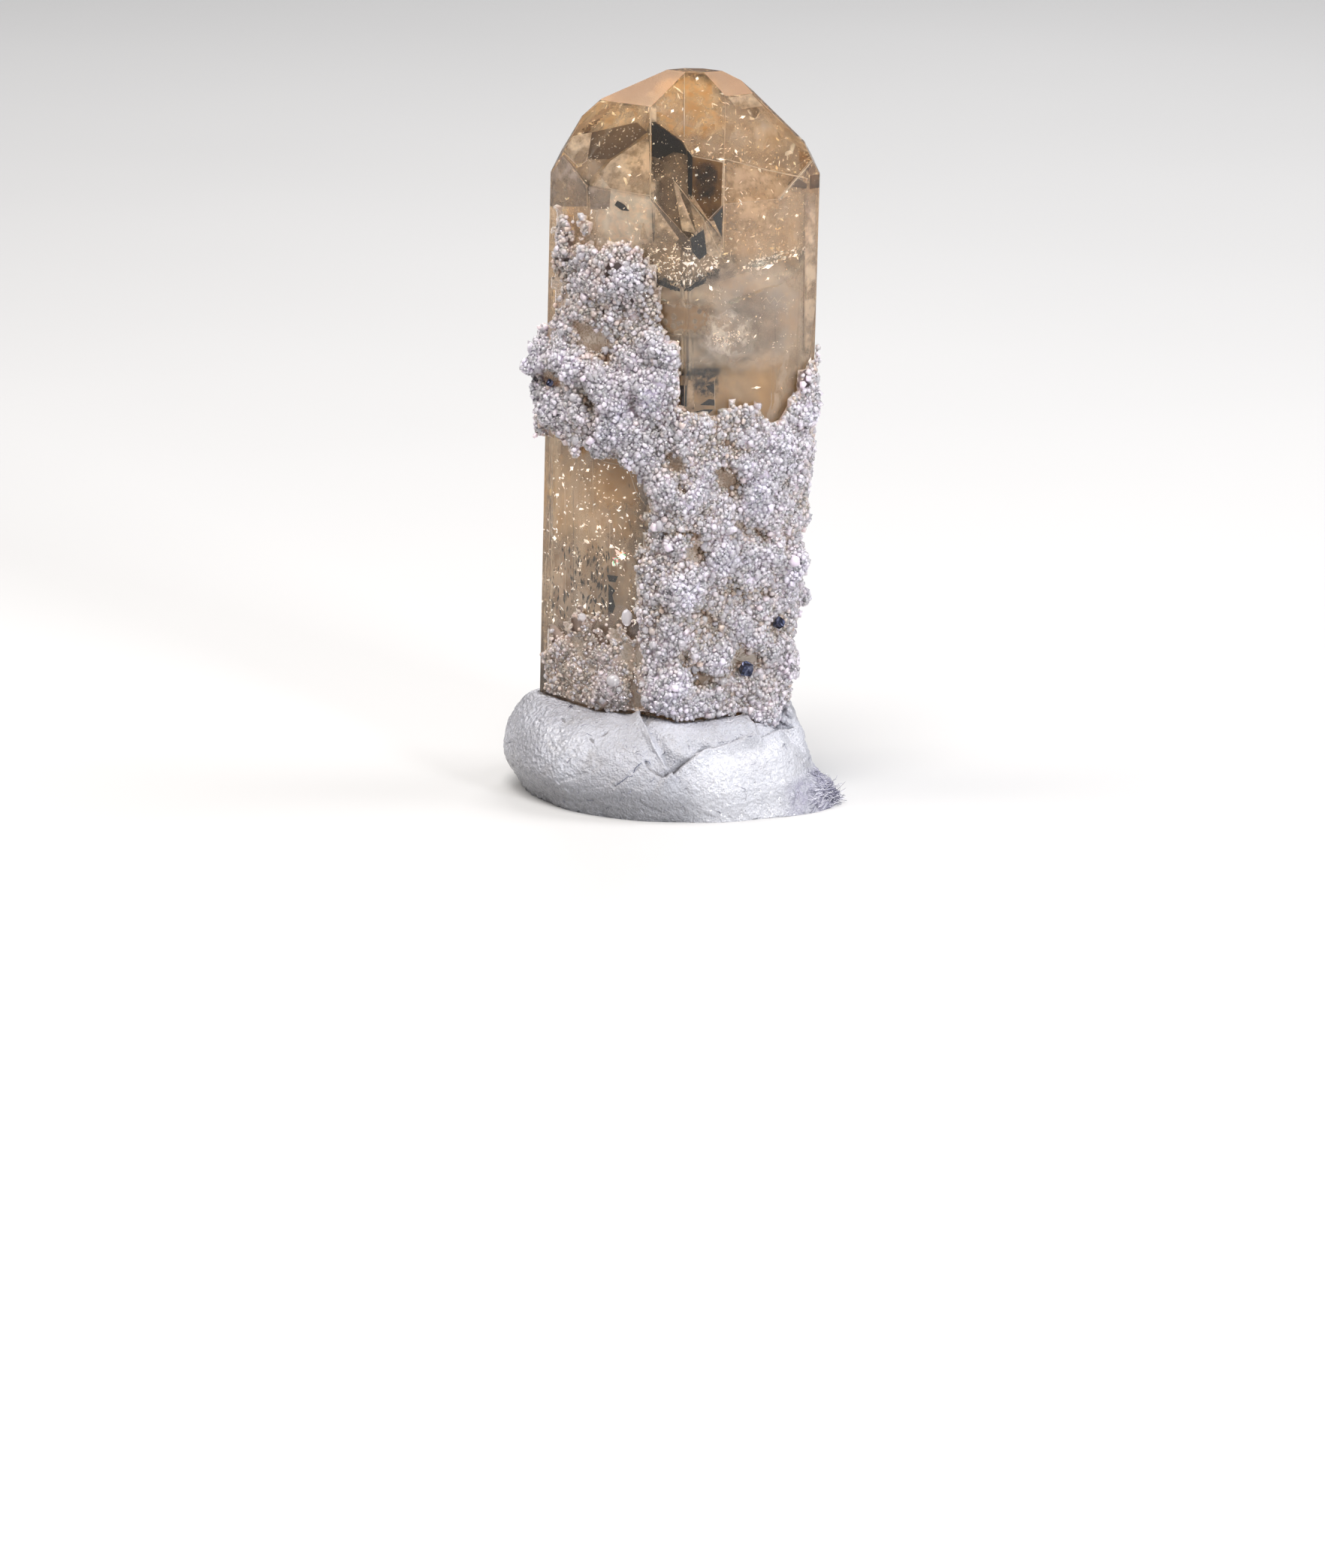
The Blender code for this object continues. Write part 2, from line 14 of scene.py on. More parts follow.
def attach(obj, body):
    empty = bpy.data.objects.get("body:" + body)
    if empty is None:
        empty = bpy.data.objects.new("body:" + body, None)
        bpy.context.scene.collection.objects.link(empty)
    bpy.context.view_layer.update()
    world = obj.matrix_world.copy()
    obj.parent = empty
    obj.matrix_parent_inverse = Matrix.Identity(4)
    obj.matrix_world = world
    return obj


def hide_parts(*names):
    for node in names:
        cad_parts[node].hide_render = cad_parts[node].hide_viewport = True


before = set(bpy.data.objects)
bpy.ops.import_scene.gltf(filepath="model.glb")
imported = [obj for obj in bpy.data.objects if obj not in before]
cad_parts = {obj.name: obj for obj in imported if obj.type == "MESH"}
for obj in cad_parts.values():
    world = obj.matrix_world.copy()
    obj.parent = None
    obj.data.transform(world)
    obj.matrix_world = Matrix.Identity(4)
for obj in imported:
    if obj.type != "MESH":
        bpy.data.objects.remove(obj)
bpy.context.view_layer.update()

MM = 0.001
UP = Vector((0.0, 0.0, 1.0))

# The camera: how far off, how far above the level, how far it is rolled, and its picture.
VIEW_DISTANCE = 153.045
VIEW_ELEVATION = math.radians(14.5)
VIEW_ROLL = math.radians(0.245)
PICTURE_WIDE = 1764
PICTURE_HIGH = 2087
PIXEL = 0.0125
SENSOR = 24.0

# How the crystal leans and turns, and where its axis stands on the base.
LEAN_FRONT = math.radians(1.92)
LEAN_RIGHT = math.radians(1.12)
TURN = math.radians(0.33)
AXIS_SPOT = Vector((0.117, 0.013, 0.0))

TOPAZ_IOR = 1.62


def crystal_frame():
    """From the crystal's own frame to the part's, both in mm."""
    lean = (Matrix.Rotation(LEAN_FRONT, 4, "X") @ Matrix.Rotation(LEAN_RIGHT, 4, "Y")
            @ Matrix.Rotation(TURN, 4, "Z"))
    return lean @ Matrix.Translation(AXIS_SPOT)


# The camera, and where a pixel of the picture leads


class View:
    """The camera's place and directions, in mm."""

    forward = Vector((0.0, math.cos(VIEW_ELEVATION), -math.sin(VIEW_ELEVATION)))
    above = Vector((0.0, math.sin(VIEW_ELEVATION), math.cos(VIEW_ELEVATION)))
    right = Vector((1.0, 0.0, 0.0))
    eye = -forward * VIEW_DISTANCE

    @classmethod
    def ray(cls, pixel):
        """The direction from the eye through a pixel of the 1764 by 2087 picture."""
        across = (pixel[0] - PICTURE_WIDE / 2) * PIXEL
        up = (PICTURE_HIGH / 2 - pixel[1]) * PIXEL
        cosine, sine = math.cos(VIEW_ROLL), math.sin(VIEW_ROLL)
        level = across * cosine - up * sine
        plumb = across * sine + up * cosine
        return (cls.forward * VIEW_DISTANCE + cls.right * level + cls.above * plumb).normalized()


def pixel_of(spot):
    """The pixel of the picture that shows a spot."""
    away = spot - View.eye
    level = VIEW_DISTANCE * away.dot(View.right) / away.dot(View.forward)
    plumb = VIEW_DISTANCE * away.dot(View.above) / away.dot(View.forward)
    cosine, sine = math.cos(VIEW_ROLL), math.sin(VIEW_ROLL)
    across = level * cosine + plumb * sine
    up = plumb * cosine - level * sine
    return Vector((PICTURE_WIDE / 2 + across / PIXEL, PICTURE_HIGH / 2 - up / PIXEL))


def add_camera():
    lens = bpy.data.cameras.new("camera")
    lens.sensor_fit = "VERTICAL"
    lens.sensor_height = SENSOR
    lens.sensor_width = SENSOR
    lens.lens = SENSOR * VIEW_DISTANCE / (PICTURE_HIGH * PIXEL)
    lens.clip_start = 0.01
    lens.clip_end = 10.0
    camera = bpy.data.objects.new("camera", lens)
    bpy.context.scene.collection.objects.link(camera)
    camera.location = View.eye * MM
    roll = Matrix.Rotation(VIEW_ROLL, 3, "Z")
    turned = Matrix((View.right, View.above, -View.forward)).transposed() @ roll
    camera.rotation_euler = turned.to_euler()
    bpy.context.scene.camera = camera


# Shader tools


class Value:
    """A shader socket that Python's sums work on. Each sum adds its Math node."""

    def __init__(self, finish, socket):
        self.finish = finish
        self.socket = socket

    def maths(self, operation, first, second):
        return self.finish.node("ShaderNodeMath", {"operation": operation}, {0: first, 1: second})

    def __add__(self, other):
        return self.maths("ADD", self, other)

    def __sub__(self, other):
        return self.maths("SUBTRACT", self, other)

    def __rsub__(self, other):
        return self.maths("SUBTRACT", other, self)

    def __mul__(self, other):
        return self.maths("MULTIPLY", self, other)

    def __gt__(self, other):
        return self.maths("GREATER_THAN", self, other)

    __radd__ = __add__


class Finish:
    """One material: a Principled shader and the nodes that feed it."""

    def __init__(self, name, **even):
        self.material = bpy.data.materials.new(name)
        self.material.use_nodes = True
        self.tree = self.material.node_tree
        self.shader = self.tree.nodes["Principled BSDF"]
        for socket, value in even.items():
            self.feed(self.shader.inputs[socket.replace("_", " ")], value)

    def feed(self, socket, value):
        if isinstance(value, Value):
            self.tree.links.new(value.socket, socket)
        elif socket.type == "RGBA" and len(value) == 3:
            socket.default_value = (*value, 1.0)
        else:
            socket.default_value = value

    def paint(self, **painted):
        """Link what changes over the surface to the shader."""
        for socket, value in painted.items():
            self.feed(self.shader.inputs[socket.replace("_", " ")], value)

    def node(self, kind, settings=None, inputs=None, output=0):
        """Any node: its settings come first, then its sockets. Gives one output."""
        made = self.tree.nodes.new(kind)
        settings = dict(settings or {})
        stops = settings.pop("stops", ())
        for name, value in settings.items():
            setattr(made, name, value)
        for number, (place, colour) in enumerate(stops):
            elements = made.color_ramp.elements
            stop = elements[number] if number < 2 else elements.new(place)
            stop.position = place
            stop.color = (*colour, 1.0)
        for name, value in (inputs or {}).items():
            self.feed(made.inputs[name], value)
        return Value(self, made.outputs[output])

    def place(self, stretch=(1.0, 1.0, 1.0), shift=(0.0, 0.0, 0.0)):
        """The place on the object in mm, stretched along each axis."""
        spot = self.node("ShaderNodeTexCoord", output="Object")
        scale = tuple(value / MM for value in stretch)
        return self.node("ShaderNodeVectorMath", {"operation": "MULTIPLY_ADD"},
                         {0: spot, 1: scale, 2: shift})

    def noise(self, scale, detail=2.0, place=None, roughness=0.5, distortion=0.0):
        return self.node("ShaderNodeTexNoise", {}, {
            "Vector": place or self.place(), "Scale": scale, "Detail": detail,
            "Roughness": roughness, "Distortion": distortion})

    def cells(self, scale, feature="F1", place=None, output="Distance"):
        return self.node("ShaderNodeTexVoronoi", {"feature": feature},
                         {"Vector": place or self.place(), "Scale": scale}, output)

    def step(self, value, low, high, first=0.0, last=1.0):
        """A smooth step from first to last as the value goes from low to high."""
        return self.node("ShaderNodeMapRange", {"interpolation_type": "SMOOTHSTEP"}, {
            "Value": value, "From Min": low, "From Max": high, "To Min": first, "To Max": last})

    def mix(self, factor, first, second, blend="MIX"):
        """Two colours mixed."""
        return self.node("ShaderNodeMix", {"data_type": "RGBA", "blend_type": blend},
                         {0: factor, 6: first, 7: second}, 2)

    def ramp(self, value, *stops):
        return self.node("ShaderNodeValToRGB", {"stops": stops}, {"Fac": value})

    def bump(self, height, distance, strength=1.0):
        """A Bump node. The distance is in mm."""
        return self.node("ShaderNodeBump", {}, {
            "Height": height, "Distance": distance * MM, "Strength": strength})

    def along(self, axis, place=None):
        """How far along one axis the place lies, in mm."""
        return self.node("ShaderNodeSeparateXYZ", {}, {0: place or self.place()}, axis)

    def stored(self, name):
        """A number kept in the mesh under a name."""
        return self.node("ShaderNodeAttribute", {"attribute_name": name}, output="Fac")

    def grain_tone(self):
        """A number of its own for each loose grain."""
        return self.node("ShaderNodeNewGeometry", output="Random Per Island")

    def facing(self, direction, tightness):
        """1 where the surface faces a direction, 0 elsewhere."""
        normal = self.node("ShaderNodeNewGeometry", output="True Normal")
        match = self.node("ShaderNodeVectorMath", {"operation": "DOT_PRODUCT"},
                          {0: normal, 1: tuple(direction)}, "Value")
        return match > tightness

    def absorb(self, colour, density):
        """What the clear body takes out of light. The density is per metre."""
        body = self.tree.nodes.new("ShaderNodeVolumeAbsorption")
        body.inputs["Color"].default_value = (*colour, 1.0)
        body.inputs["Density"].default_value = density
        output = self.tree.nodes["Material Output"]
        self.tree.links.new(body.outputs["Volume"], output.inputs["Volume"])


# The finishes

# Topaz's lattice to the right, to the back and up, and the frosted faces of its roof counted in it.
LATTICE = Vector((8.80, 4.65, 8.40))
FROSTED_ROOF = ((1, -1, 2), (-1, -1, 2), (1, 1, 2), (-1, 1, 2))

# The share of the quartz that is gone where the crust is at its barest.
BAREST = 0.93


def roof_directions():
    """The way the four frosted roof faces look, in the part's frame."""
    lean = crystal_frame().to_3x3()
    steps = [Vector([count / length for count, length in zip(face, LATTICE)])
             for face in FROSTED_ROOF]
    return [(lean @ step).normalized() for step in steps]


def topaz_finish():
    finish = Finish("clear_champagne_topaz", Transmission_Weight=0.985, IOR=TOPAZ_IOR,
                    Specular_IOR_Level=0.17, Emission_Strength=1.0)
    finish.absorb((0.88, 0.55, 0.10), 140.0)
    frosted = sum((finish.facing(direction, 0.999) for direction in roof_directions()), start=0.0)
    lines = finish.noise(9.0, 3.0, finish.place((3.0, 3.0, 0.05)))
    cloud = finish.noise(1.1, 5.0, roughness=0.62)
    grit = finish.noise(60.0, 2.0)
    upright = 1.0 - finish.step(finish.along("Z"), 9.6, 10.4)
    clear = finish.ramp(cloud, (0.34, (1.0, 0.84, 0.62)), (0.66, (1.0, 0.93, 0.84)))
    finish.paint(
        Base_Color=finish.mix(frosted, clear, (1.0, 0.70, 0.46)),
        # The frosted roof faces glow amber: painted light for their bright sheen.
        Emission_Color=finish.mix(frosted * (0.5 + cloud), (0.0, 0.0, 0.0), (0.14, 0.064, 0.020)),
        Roughness=0.012 + frosted * (0.36 + grit * 0.2),
        Normal=finish.bump(lines * upright * 0.4 + frosted * grit * 1.5, 0.006))
    return finish.material


def cloud_finish(name, thin, dense):
    """The soft haze of fine inclusions in the topaz."""
    finish = Finish(name, IOR=1.1, Specular_IOR_Level=0.2)
    swarm = finish.noise(0.9, 4.0, roughness=0.55)
    mottle = finish.noise(4.0, 4.0, finish.place((1.0, 1.0, 0.6)), 0.6, 0.3)
    finish.paint(
        Base_Color=finish.ramp(mottle, (0.34, (0.80, 0.60, 0.41)), (0.50, (0.95, 0.79, 0.62)),
                               (0.66, (1.0, 0.91, 0.83))),
        Alpha=(finish.step(swarm, 0.36, 0.64, thin, dense)
               * finish.step(mottle, 0.36, 0.58, 0.7, 1.0)
               * finish.step(finish.stored("edge"), 0.0, 1.0)),
        Roughness=0.5)
    return finish.material


def patch_finish(name, low, high, scale, thin, dense, pattern="cloud"):
    """A soft-edged patch inside the topaz, from one colour to another.

    The pattern is cloud, upright for blotches drawn out upwards, or comb for rounded cells.
    """
    finish = Finish(name, IOR=1.1, Specular_IOR_Level=0.2)
    place = finish.place((1.0, 1.0, 0.35) if pattern == "upright" else (1.0, 1.0, 1.0))
    blotch = finish.noise(scale, 4.0, place, 0.6, 0.3)
    if pattern == "comb":
        blotch = 0.80 - finish.cells(scale) * 0.75 + (blotch - 0.5) * 0.4
    finish.paint(
        Base_Color=finish.mix(finish.step(blotch, 0.36, 0.64), low, high),
        Alpha=finish.step(blotch, 0.62, 0.36, thin, dense) * finish.stored("edge"),
        Roughness=0.4)
    return finish.material


def fleck_finish(name, low, high, glow=0.0, metal=0.7):
    """Flakes inside the topaz, from a darker to a lighter colour. The glow is painted light, standing
    in for the glints the flakes catch.
    """
    finish = Finish(name, Specular_IOR_Level=0.8, Emission_Strength=glow)
    tone = finish.grain_tone()
    colour = finish.mix(tone, low, high)
    finish.paint(
        Base_Color=colour,
        Emission_Color=colour,
        Metallic=finish.step(tone, 0.4, 0.9, 0.0, metal),
        Roughness=0.12 + tone * 0.3)
    return finish.material


def rainbow_finish():
    """A few flakes that split light into colours. They also glow: painted light."""
    finish = Finish("rainbow_flakes", Specular_IOR_Level=0.8, Emission_Strength=0.5)
    hue = finish.ramp(finish.grain_tone(), (0.0, (0.25, 0.95, 0.60)), (0.3, (0.30, 0.85, 0.90)),
                      (0.55, (1.0, 0.95, 0.90)), (0.8, (1.0, 0.45, 0.55)), (1.0, (1.0, 0.50, 0.15)))
    finish.paint(Base_Color=hue, Emission_Color=hue, Roughness=0.1 + finish.noise(8.0) * 0.2)
    return finish.material


# Two heights for a window that pales nowhere: all of it is above them.
NO_FADE = (0.0, -1.0)


def shade_window_finish(name, colour, pale, thin, thick, fade=NO_FADE):
    """A dark window: a partly see-through sheet of painted shade. It pales between two heights, in mm.
    """
    finish = Finish(name, Specular_IOR_Level=0.0)
    shade_mottle = finish.noise(5.0, 5.0, roughness=0.65)
    fall = finish.step(finish.along("Z"), *fade)
    share = finish.step(shade_mottle, 0.38, 0.68)
    finish.paint(
        Base_Color=finish.mix(share * 0.35 + fall * 0.65, colour, pale),
        Alpha=finish.step(share * 0.4 + fall * 0.6, 0.0, 1.0, thick, thin),
        Roughness=0.3 + shade_mottle * 0.2)
    return finish.material


def pane_finish(name, low, high, thin, dense):
    """A tinted pane inside the topaz, softly clouded."""
    finish = Finish(name, Specular_IOR_Level=0.3)
    cloud = finish.noise(3.4, 4.0, roughness=0.6)
    finish.paint(
        Base_Color=finish.mix(finish.step(cloud, 0.38, 0.62), low, high),
        Alpha=finish.step(cloud, 0.36, 0.64, thin, dense),
        Roughness=0.3 + cloud * 0.2)
    return finish.material


def line_finish(name, colour, strength):
    """A line inside the topaz, where two of its faces or panes meet: a painted highlight or painted
    shade, as its colour is light or dark.
    """
    finish = Finish(name, Specular_IOR_Level=0.3)
    cloud = finish.noise(2.2, 3.0)
    finish.paint(
        Base_Color=finish.mix(cloud, [value * 0.85 for value in colour], colour),
        Alpha=finish.step(cloud, 0.30, 0.62, 0.35 * strength, strength),
        Roughness=0.3 + cloud * 0.2)
    return finish.material


def silver_film_finish(name, dense):
    """A crack's bright, glassy film, with faint rainbow colours."""
    finish = Finish(name, Specular_IOR_Level=0.9)
    waves = finish.noise(3.5, 4.0, finish.place((1.0, 1.0, 3.0)))
    hue = finish.ramp(finish.noise(2.6, 2.0), (0.30, (1.0, 0.80, 0.52)), (0.48, (1.0, 0.94, 0.84)),
                      (0.60, (0.92, 0.98, 0.92)), (0.70, (0.98, 0.86, 0.96)))
    finish.paint(
        Base_Color=hue,
        Metallic=finish.step(waves, 0.45, 0.60, 0.2, 0.9),
        Alpha=finish.step(waves, 0.42, 0.66, 0.03, dense),
        Roughness=0.08 + waves * 0.25,
        Normal=finish.bump(finish.noise(9.0, 3.0), 0.03))
    return finish.material


def quartz_finish(name, patchy):
    """Lavender-white quartz with painted shade, darker and browner in its hollows, and lighter on its
    tallest lumps. A patchy one lets the topaz show through.
    """
    finish = Finish(name, IOR=1.54, Subsurface_Weight=0.9, Subsurface_Scale=0.22 * MM,
                    Subsurface_Radius=(1.0, 0.9, 1.0), Specular_IOR_Level=0.6)
    tone = finish.grain_tone()
    cloud = finish.noise(1.6, 4.0)
    # The stored stand is lower in hollows and low places: the ramp paints shade there, darker and
    # browner, and paints the tallest lumps lighter.
    stand = finish.stored("stand") * 0.6 + tone * 0.22 + cloud * 0.55 - 0.28
    colour = finish.ramp(stand, (0.0, (0.17, 0.11, 0.07)), (0.15, (0.52, 0.40, 0.34)),
                         (0.34, (0.63, 0.54, 0.62)), (0.62, (0.69, 0.615, 0.80)),
                         (0.94, (0.81, 0.765, 0.98)))
    level, across = finish.along("Z"), finish.along("X")
    foot = finish.step(level, 3.5, 2.9) * finish.step(across, -0.1, -0.5)
    upper = finish.step(level, 7.4, 8.6) * finish.step(finish.noise(1.7, 3.0), 0.36, 0.60)
    tan = finish.step(finish.noise(1.1, 3.0, finish.place(shift=(7.0, 3.0, 1.0))), 0.50, 0.66)
    colour = finish.mix(upper * 0.6 + foot * 0.6 + tan * 0.3, colour, (0.47, 0.35, 0.285))
    if patchy:
        finish.paint(Alpha=1.0 - finish.step(finish.stored("bare"), 0.30, 0.70) * BAREST)
    finish.paint(
        Base_Color=colour,
        Roughness=0.16 + tone * 0.30,
        Normal=finish.bump(finish.noise(45.0, 2.0), 0.004))
    return finish.material


def glint_finish():
    """Painted glints: tiny flakes that glow, some of them metal that catches the light as well."""
    finish = Finish("quartz_glints", Emission_Strength=0.75)
    tone = finish.grain_tone()
    colour = finish.ramp(tone, (0.0, (0.94, 0.90, 1.0)), (0.5, (1.0, 1.0, 1.0)),
                         (0.88, (1.0, 0.84, 0.90)), (1.0, (0.84, 0.96, 1.0)))
    finish.paint(
        Base_Color=colour,
        Emission_Color=colour,
        Metallic=finish.step(tone, 0.3, 0.7, 0.0, 0.9),
        Roughness=0.10 + tone * 0.15)
    return finish.material


def clear_quartz_finish(name):
    finish = Finish(name, Transmission_Weight=0.7, IOR=1.54)
    tone = finish.grain_tone()
    finish.paint(
        Base_Color=finish.mix(tone, (0.90, 0.86, 0.92), (1.0, 0.98, 1.0)),
        Roughness=0.03 + tone * 0.12,
        Normal=finish.bump(finish.noise(40.0, 2.0), 0.003))
    return finish.material


def putty_finish():
    finish = Finish("white_putty", Subsurface_Weight=0.2, Subsurface_Scale=0.15 * MM,
                    Subsurface_Radius=(1.0, 0.95, 0.9), Specular_IOR_Level=0.8, Coat_Roughness=0.12)
    level, across = finish.along("Z"), finish.along("X")
    cloud = finish.noise(0.9, 4.0)
    soil = finish.noise(2.6, 6.0, roughness=0.7)
    fine = finish.noise(16.0, 4.0, roughness=0.6)
    grit = finish.noise(42.0, 2.0)
    colour = finish.mix(finish.step(cloud, 0.38, 0.66), (0.33, 0.33, 0.36), (0.43, 0.435, 0.48))
    colour = finish.mix(finish.step(soil, 0.50, 0.72, 0.0, 0.5), colour, (0.29, 0.275, 0.275))
    colour = finish.mix(finish.step(fine, 0.56, 0.72, 0.0, 0.4), colour, (0.29, 0.275, 0.27))
    # The folds' creases get painted shade.
    colour = finish.mix(finish.stored("fold"), colour, (0.16, 0.14, 0.13))
    specks = finish.step(finish.cells(3.2), 0.030, 0.055, 0.85, 0.0)
    colour = finish.mix(specks, colour, (0.06, 0.06, 0.08))
    linty = finish.step(across, 2.45, 2.85)
    lint = finish.step(finish.noise(12.0, 4.0, finish.place((0.5, 1.0, 2.0))), 0.42, 0.56)
    colour = finish.mix(linty * lint * 0.8, colour, (0.10, 0.09, 0.16))
    skirt = finish.step(across, 1.75, 2.3) * finish.step(level, 0.62, 0.38)
    colour = finish.mix(skirt * finish.step(soil, 0.40, 0.60, 0.25, 0.8), colour, (0.25, 0.235, 0.33))
    # Darker towards the bottom, near the floor: painted shade.
    low = finish.step(level, 0.9, 0.1) * (1.0 - finish.step(across, 0.2, 1.2) * 0.6)
    colour = finish.mix(low * 0.6, colour, (0.18, 0.18, 0.19))
    wet = finish.step(across, -0.9, -2.0)
    # The lower front roll: glossier, and painted lighter where the glare falls, a painted highlight.
    glossy_glare = (finish.step(across, 0.2, 0.9) * finish.step(across, 2.5, 2.0)
               * finish.step(level, 1.3, 0.9))
    grain = fine * 0.9 + grit * 0.35 + finish.cells(26.0) * 0.5 + wet * finish.cells(15.0) * 1.5
    finish.paint(
        Base_Color=finish.mix(glossy_glare * (1.0 - skirt) * 0.5, colour, (0.66, 0.66, 0.70)),
        Roughness=0.30 + cloud * 0.15 + linty * 0.3 - wet * 0.14,
        Coat_Weight=wet * 0.5 + glossy_glare * 0.5 + finish.step(fine, 0.45, 0.7, 0.0, 0.35),
        Normal=finish.bump(grain, 0.034))
    return finish.material


def lint_finish():
    finish = Finish("lint", Sheen_Weight=0.3)
    tone = finish.grain_tone()
    finish.paint(
        Base_Color=finish.ramp(tone, (0.0, (0.012, 0.013, 0.04)), (0.45, (0.06, 0.06, 0.13)),
                               (0.62, (0.26, 0.25, 0.36)), (0.75, (0.70, 0.68, 0.78)),
                               (1.0, (0.92, 0.91, 0.95))),
        Roughness=0.4 + finish.noise(30.0) * 0.3)
    return finish.material


def black_grain_finish():
    finish = Finish("black_metallic_grain", Metallic=0.85)
    patches = finish.noise(14.0, 3.0)
    facets = finish.cells(9.0, place=finish.place((1.0, 1.0, 0.7)))
    colour = finish.ramp(patches, (0.35, (0.012, 0.013, 0.02)), (0.56, (0.07, 0.08, 0.14)),
                         (0.72, (0.26, 0.28, 0.36)))
    finish.paint(
        Base_Color=colour,
        Roughness=0.16 + patches * 0.3,
        Normal=finish.bump(facets + patches * 0.3, 0.07))
    return finish.material


def floor_finish():
    finish = Finish("pale_floor", Specular_IOR_Level=0.2)
    cloud = finish.noise(0.04, 3.0)
    finish.paint(
        Base_Color=finish.mix(cloud, (0.50, 0.497, 0.495), (0.54, 0.537, 0.535)),
        Roughness=0.6 + cloud * 0.1)
    return finish.material


# Mesh tools


def smooth_step(value, low, high):
    """0 below low, 1 above high, and smooth between."""
    share = max(0.0, min(1.0, (value - low) / (high - low)))
    return share * share * (3.0 - 2.0 * share)


def add_piece(name, mesh, material, body="root"):
    mesh.materials.append(material)
    piece = bpy.data.objects.new(name, mesh)
    bpy.context.scene.collection.objects.link(piece)
    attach(piece, body)
    return piece


def mesh_from(name, points, triangles, kept=None):
    """A flat-shaded mesh from arrays of points in mm and of triangles, with numbers kept by point."""
    mesh = bpy.data.meshes.new(name)
    mesh.vertices.add(len(points))
    mesh.vertices.foreach_set("co", (np.asarray(points) * MM).astype(np.float32).ravel())
    mesh.loops.add(3 * len(triangles))
    mesh.loops.foreach_set("vertex_index", np.asarray(triangles, np.int32).ravel())
    mesh.polygons.add(len(triangles))
    mesh.polygons.foreach_set("loop_start", np.arange(0, 3 * len(triangles), 3, dtype=np.int32))
    mesh.update(calc_edges=True)
    mesh.validate()
    for label, numbers in (kept or {}).items():
        keep_numbers(mesh, label, numbers)
    return mesh


def keep_numbers(mesh, label, numbers):
    """Keep one number for each point of a mesh, for its material to read."""
    store = mesh.attributes.new(label, "FLOAT", "POINT")
    store.data.foreach_set("value", np.asarray(numbers, np.float32))


def node_mesh(node):
    """A CAD node's mesh as a bmesh in mm, in triangles with shared corners."""
    bm = bmesh.new()
    bm.from_mesh(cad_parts[node].data)
    bm.transform(Matrix.Scale(1.0 / MM, 4))
    bmesh.ops.remove_doubles(bm, verts=bm.verts, dist=1e-5)
    bmesh.ops.recalc_face_normals(bm, faces=bm.faces)
    bmesh.ops.triangulate(bm, faces=bm.faces)
    return bm


def to_mesh(name, bm, smooth=True):
    """A bmesh in mm as a mesh in metres."""
    bm.transform(Matrix.Scale(MM, 4))
    mesh = bpy.data.meshes.new(name)
    bm.to_mesh(mesh)
    bm.free()
    if smooth:
        mesh.shade_smooth()
    return mesh


def turned_to(directions, dice):
    """For each direction, a rotation that turns up to it, with a chance spin."""
    up = directions / np.linalg.norm(directions, axis=1, keepdims=True)
    side = np.cross(up, dice.normal(size=up.shape))
    side /= np.linalg.norm(side, axis=1, keepdims=True)
    return np.stack([side, np.cross(up, side), up], axis=2)


def strew(shapes, spots, directions, sizes, dice):
    """One copy of a chance shape at each spot: points, triangles, and each point's spot number."""
    points, triangles, owners, start = [], [], [], 0
    choice = dice.integers(len(shapes), size=len(spots))
    turns = turned_to(directions, dice)
    for number, (corners, faces) in enumerate(shapes):
        chosen = np.nonzero(choice == number)[0]
        stretched = corners[None] * sizes[chosen][:, None, :]
        placed = np.einsum("nij,nkj->nki", turns[chosen], stretched) + spots[chosen][:, None, :]
        points.append(placed.reshape(-1, 3))
        shift = start + np.arange(len(chosen))[:, None, None] * len(corners)
        triangles.append((faces[None] + shift).reshape(-1, 3))
        owners.append(np.repeat(chosen, len(corners)))
        start += placed.shape[0] * len(corners)
    return np.concatenate(points), np.concatenate(triangles), np.concatenate(owners)


def quartz_point(dice):
    """A short six-sided quartz crystal with an uneven point."""
    angles = np.arange(6) * math.pi / 3 + dice.uniform(-0.12, 0.12, 6)
    wide = dice.uniform(0.85, 1.1, 6)
    ring = np.stack([wide * np.cos(angles), wide * np.sin(angles)], axis=1)
    foot = np.column_stack([ring * 0.8, np.full(6, -0.8)])
    neck = np.column_stack([ring, 0.25 + dice.uniform(-0.12, 0.12, 6)])
    tip = np.array([[*dice.uniform(-0.25, 0.25, 2), 1.05]])
    faces = []
    for i in range(6):
        j = (i + 1) % 6
        faces += [(i, j, 6 + j), (i, 6 + j, 6 + i), (6 + i, 6 + j, 12)]
    faces += [(0, i + 1, i) for i in range(1, 5)]
    return np.vstack([foot, neck, tip]), np.array(faces)


def sugar_lump(dice, rounds, low, high):
    """A rounded grain with flat faces, uneven between two shares of its radius."""
    bm = bmesh.new()
    bmesh.ops.create_icosphere(bm, subdivisions=rounds, radius=1.0)
    corners = np.array([vert.co for vert in bm.verts])
    corners *= dice.uniform(low, high, (len(corners), 1))
    faces = np.array([[vert.index for vert in face.verts] for face in bm.faces])
    bm.free()
    return corners, faces


def sugar_cube(dice):
    """A blocky grain, like a broken bit of sugar."""
    corners = np.array([(x, y, z) for x in (-1, 1) for y in (-1, 1) for z in (-1, 1)], float)
    corners = corners * 0.72 + dice.uniform(-0.26, 0.26, (8, 3))
    faces = ((0, 1, 3), (0, 3, 2), (4, 6, 7), (4, 7, 5), (0, 4, 5), (0, 5, 1),
             (2, 3, 7), (2, 7, 6), (0, 2, 6), (0, 6, 4), (1, 5, 7), (1, 7, 3))
    return corners, np.array(faces)


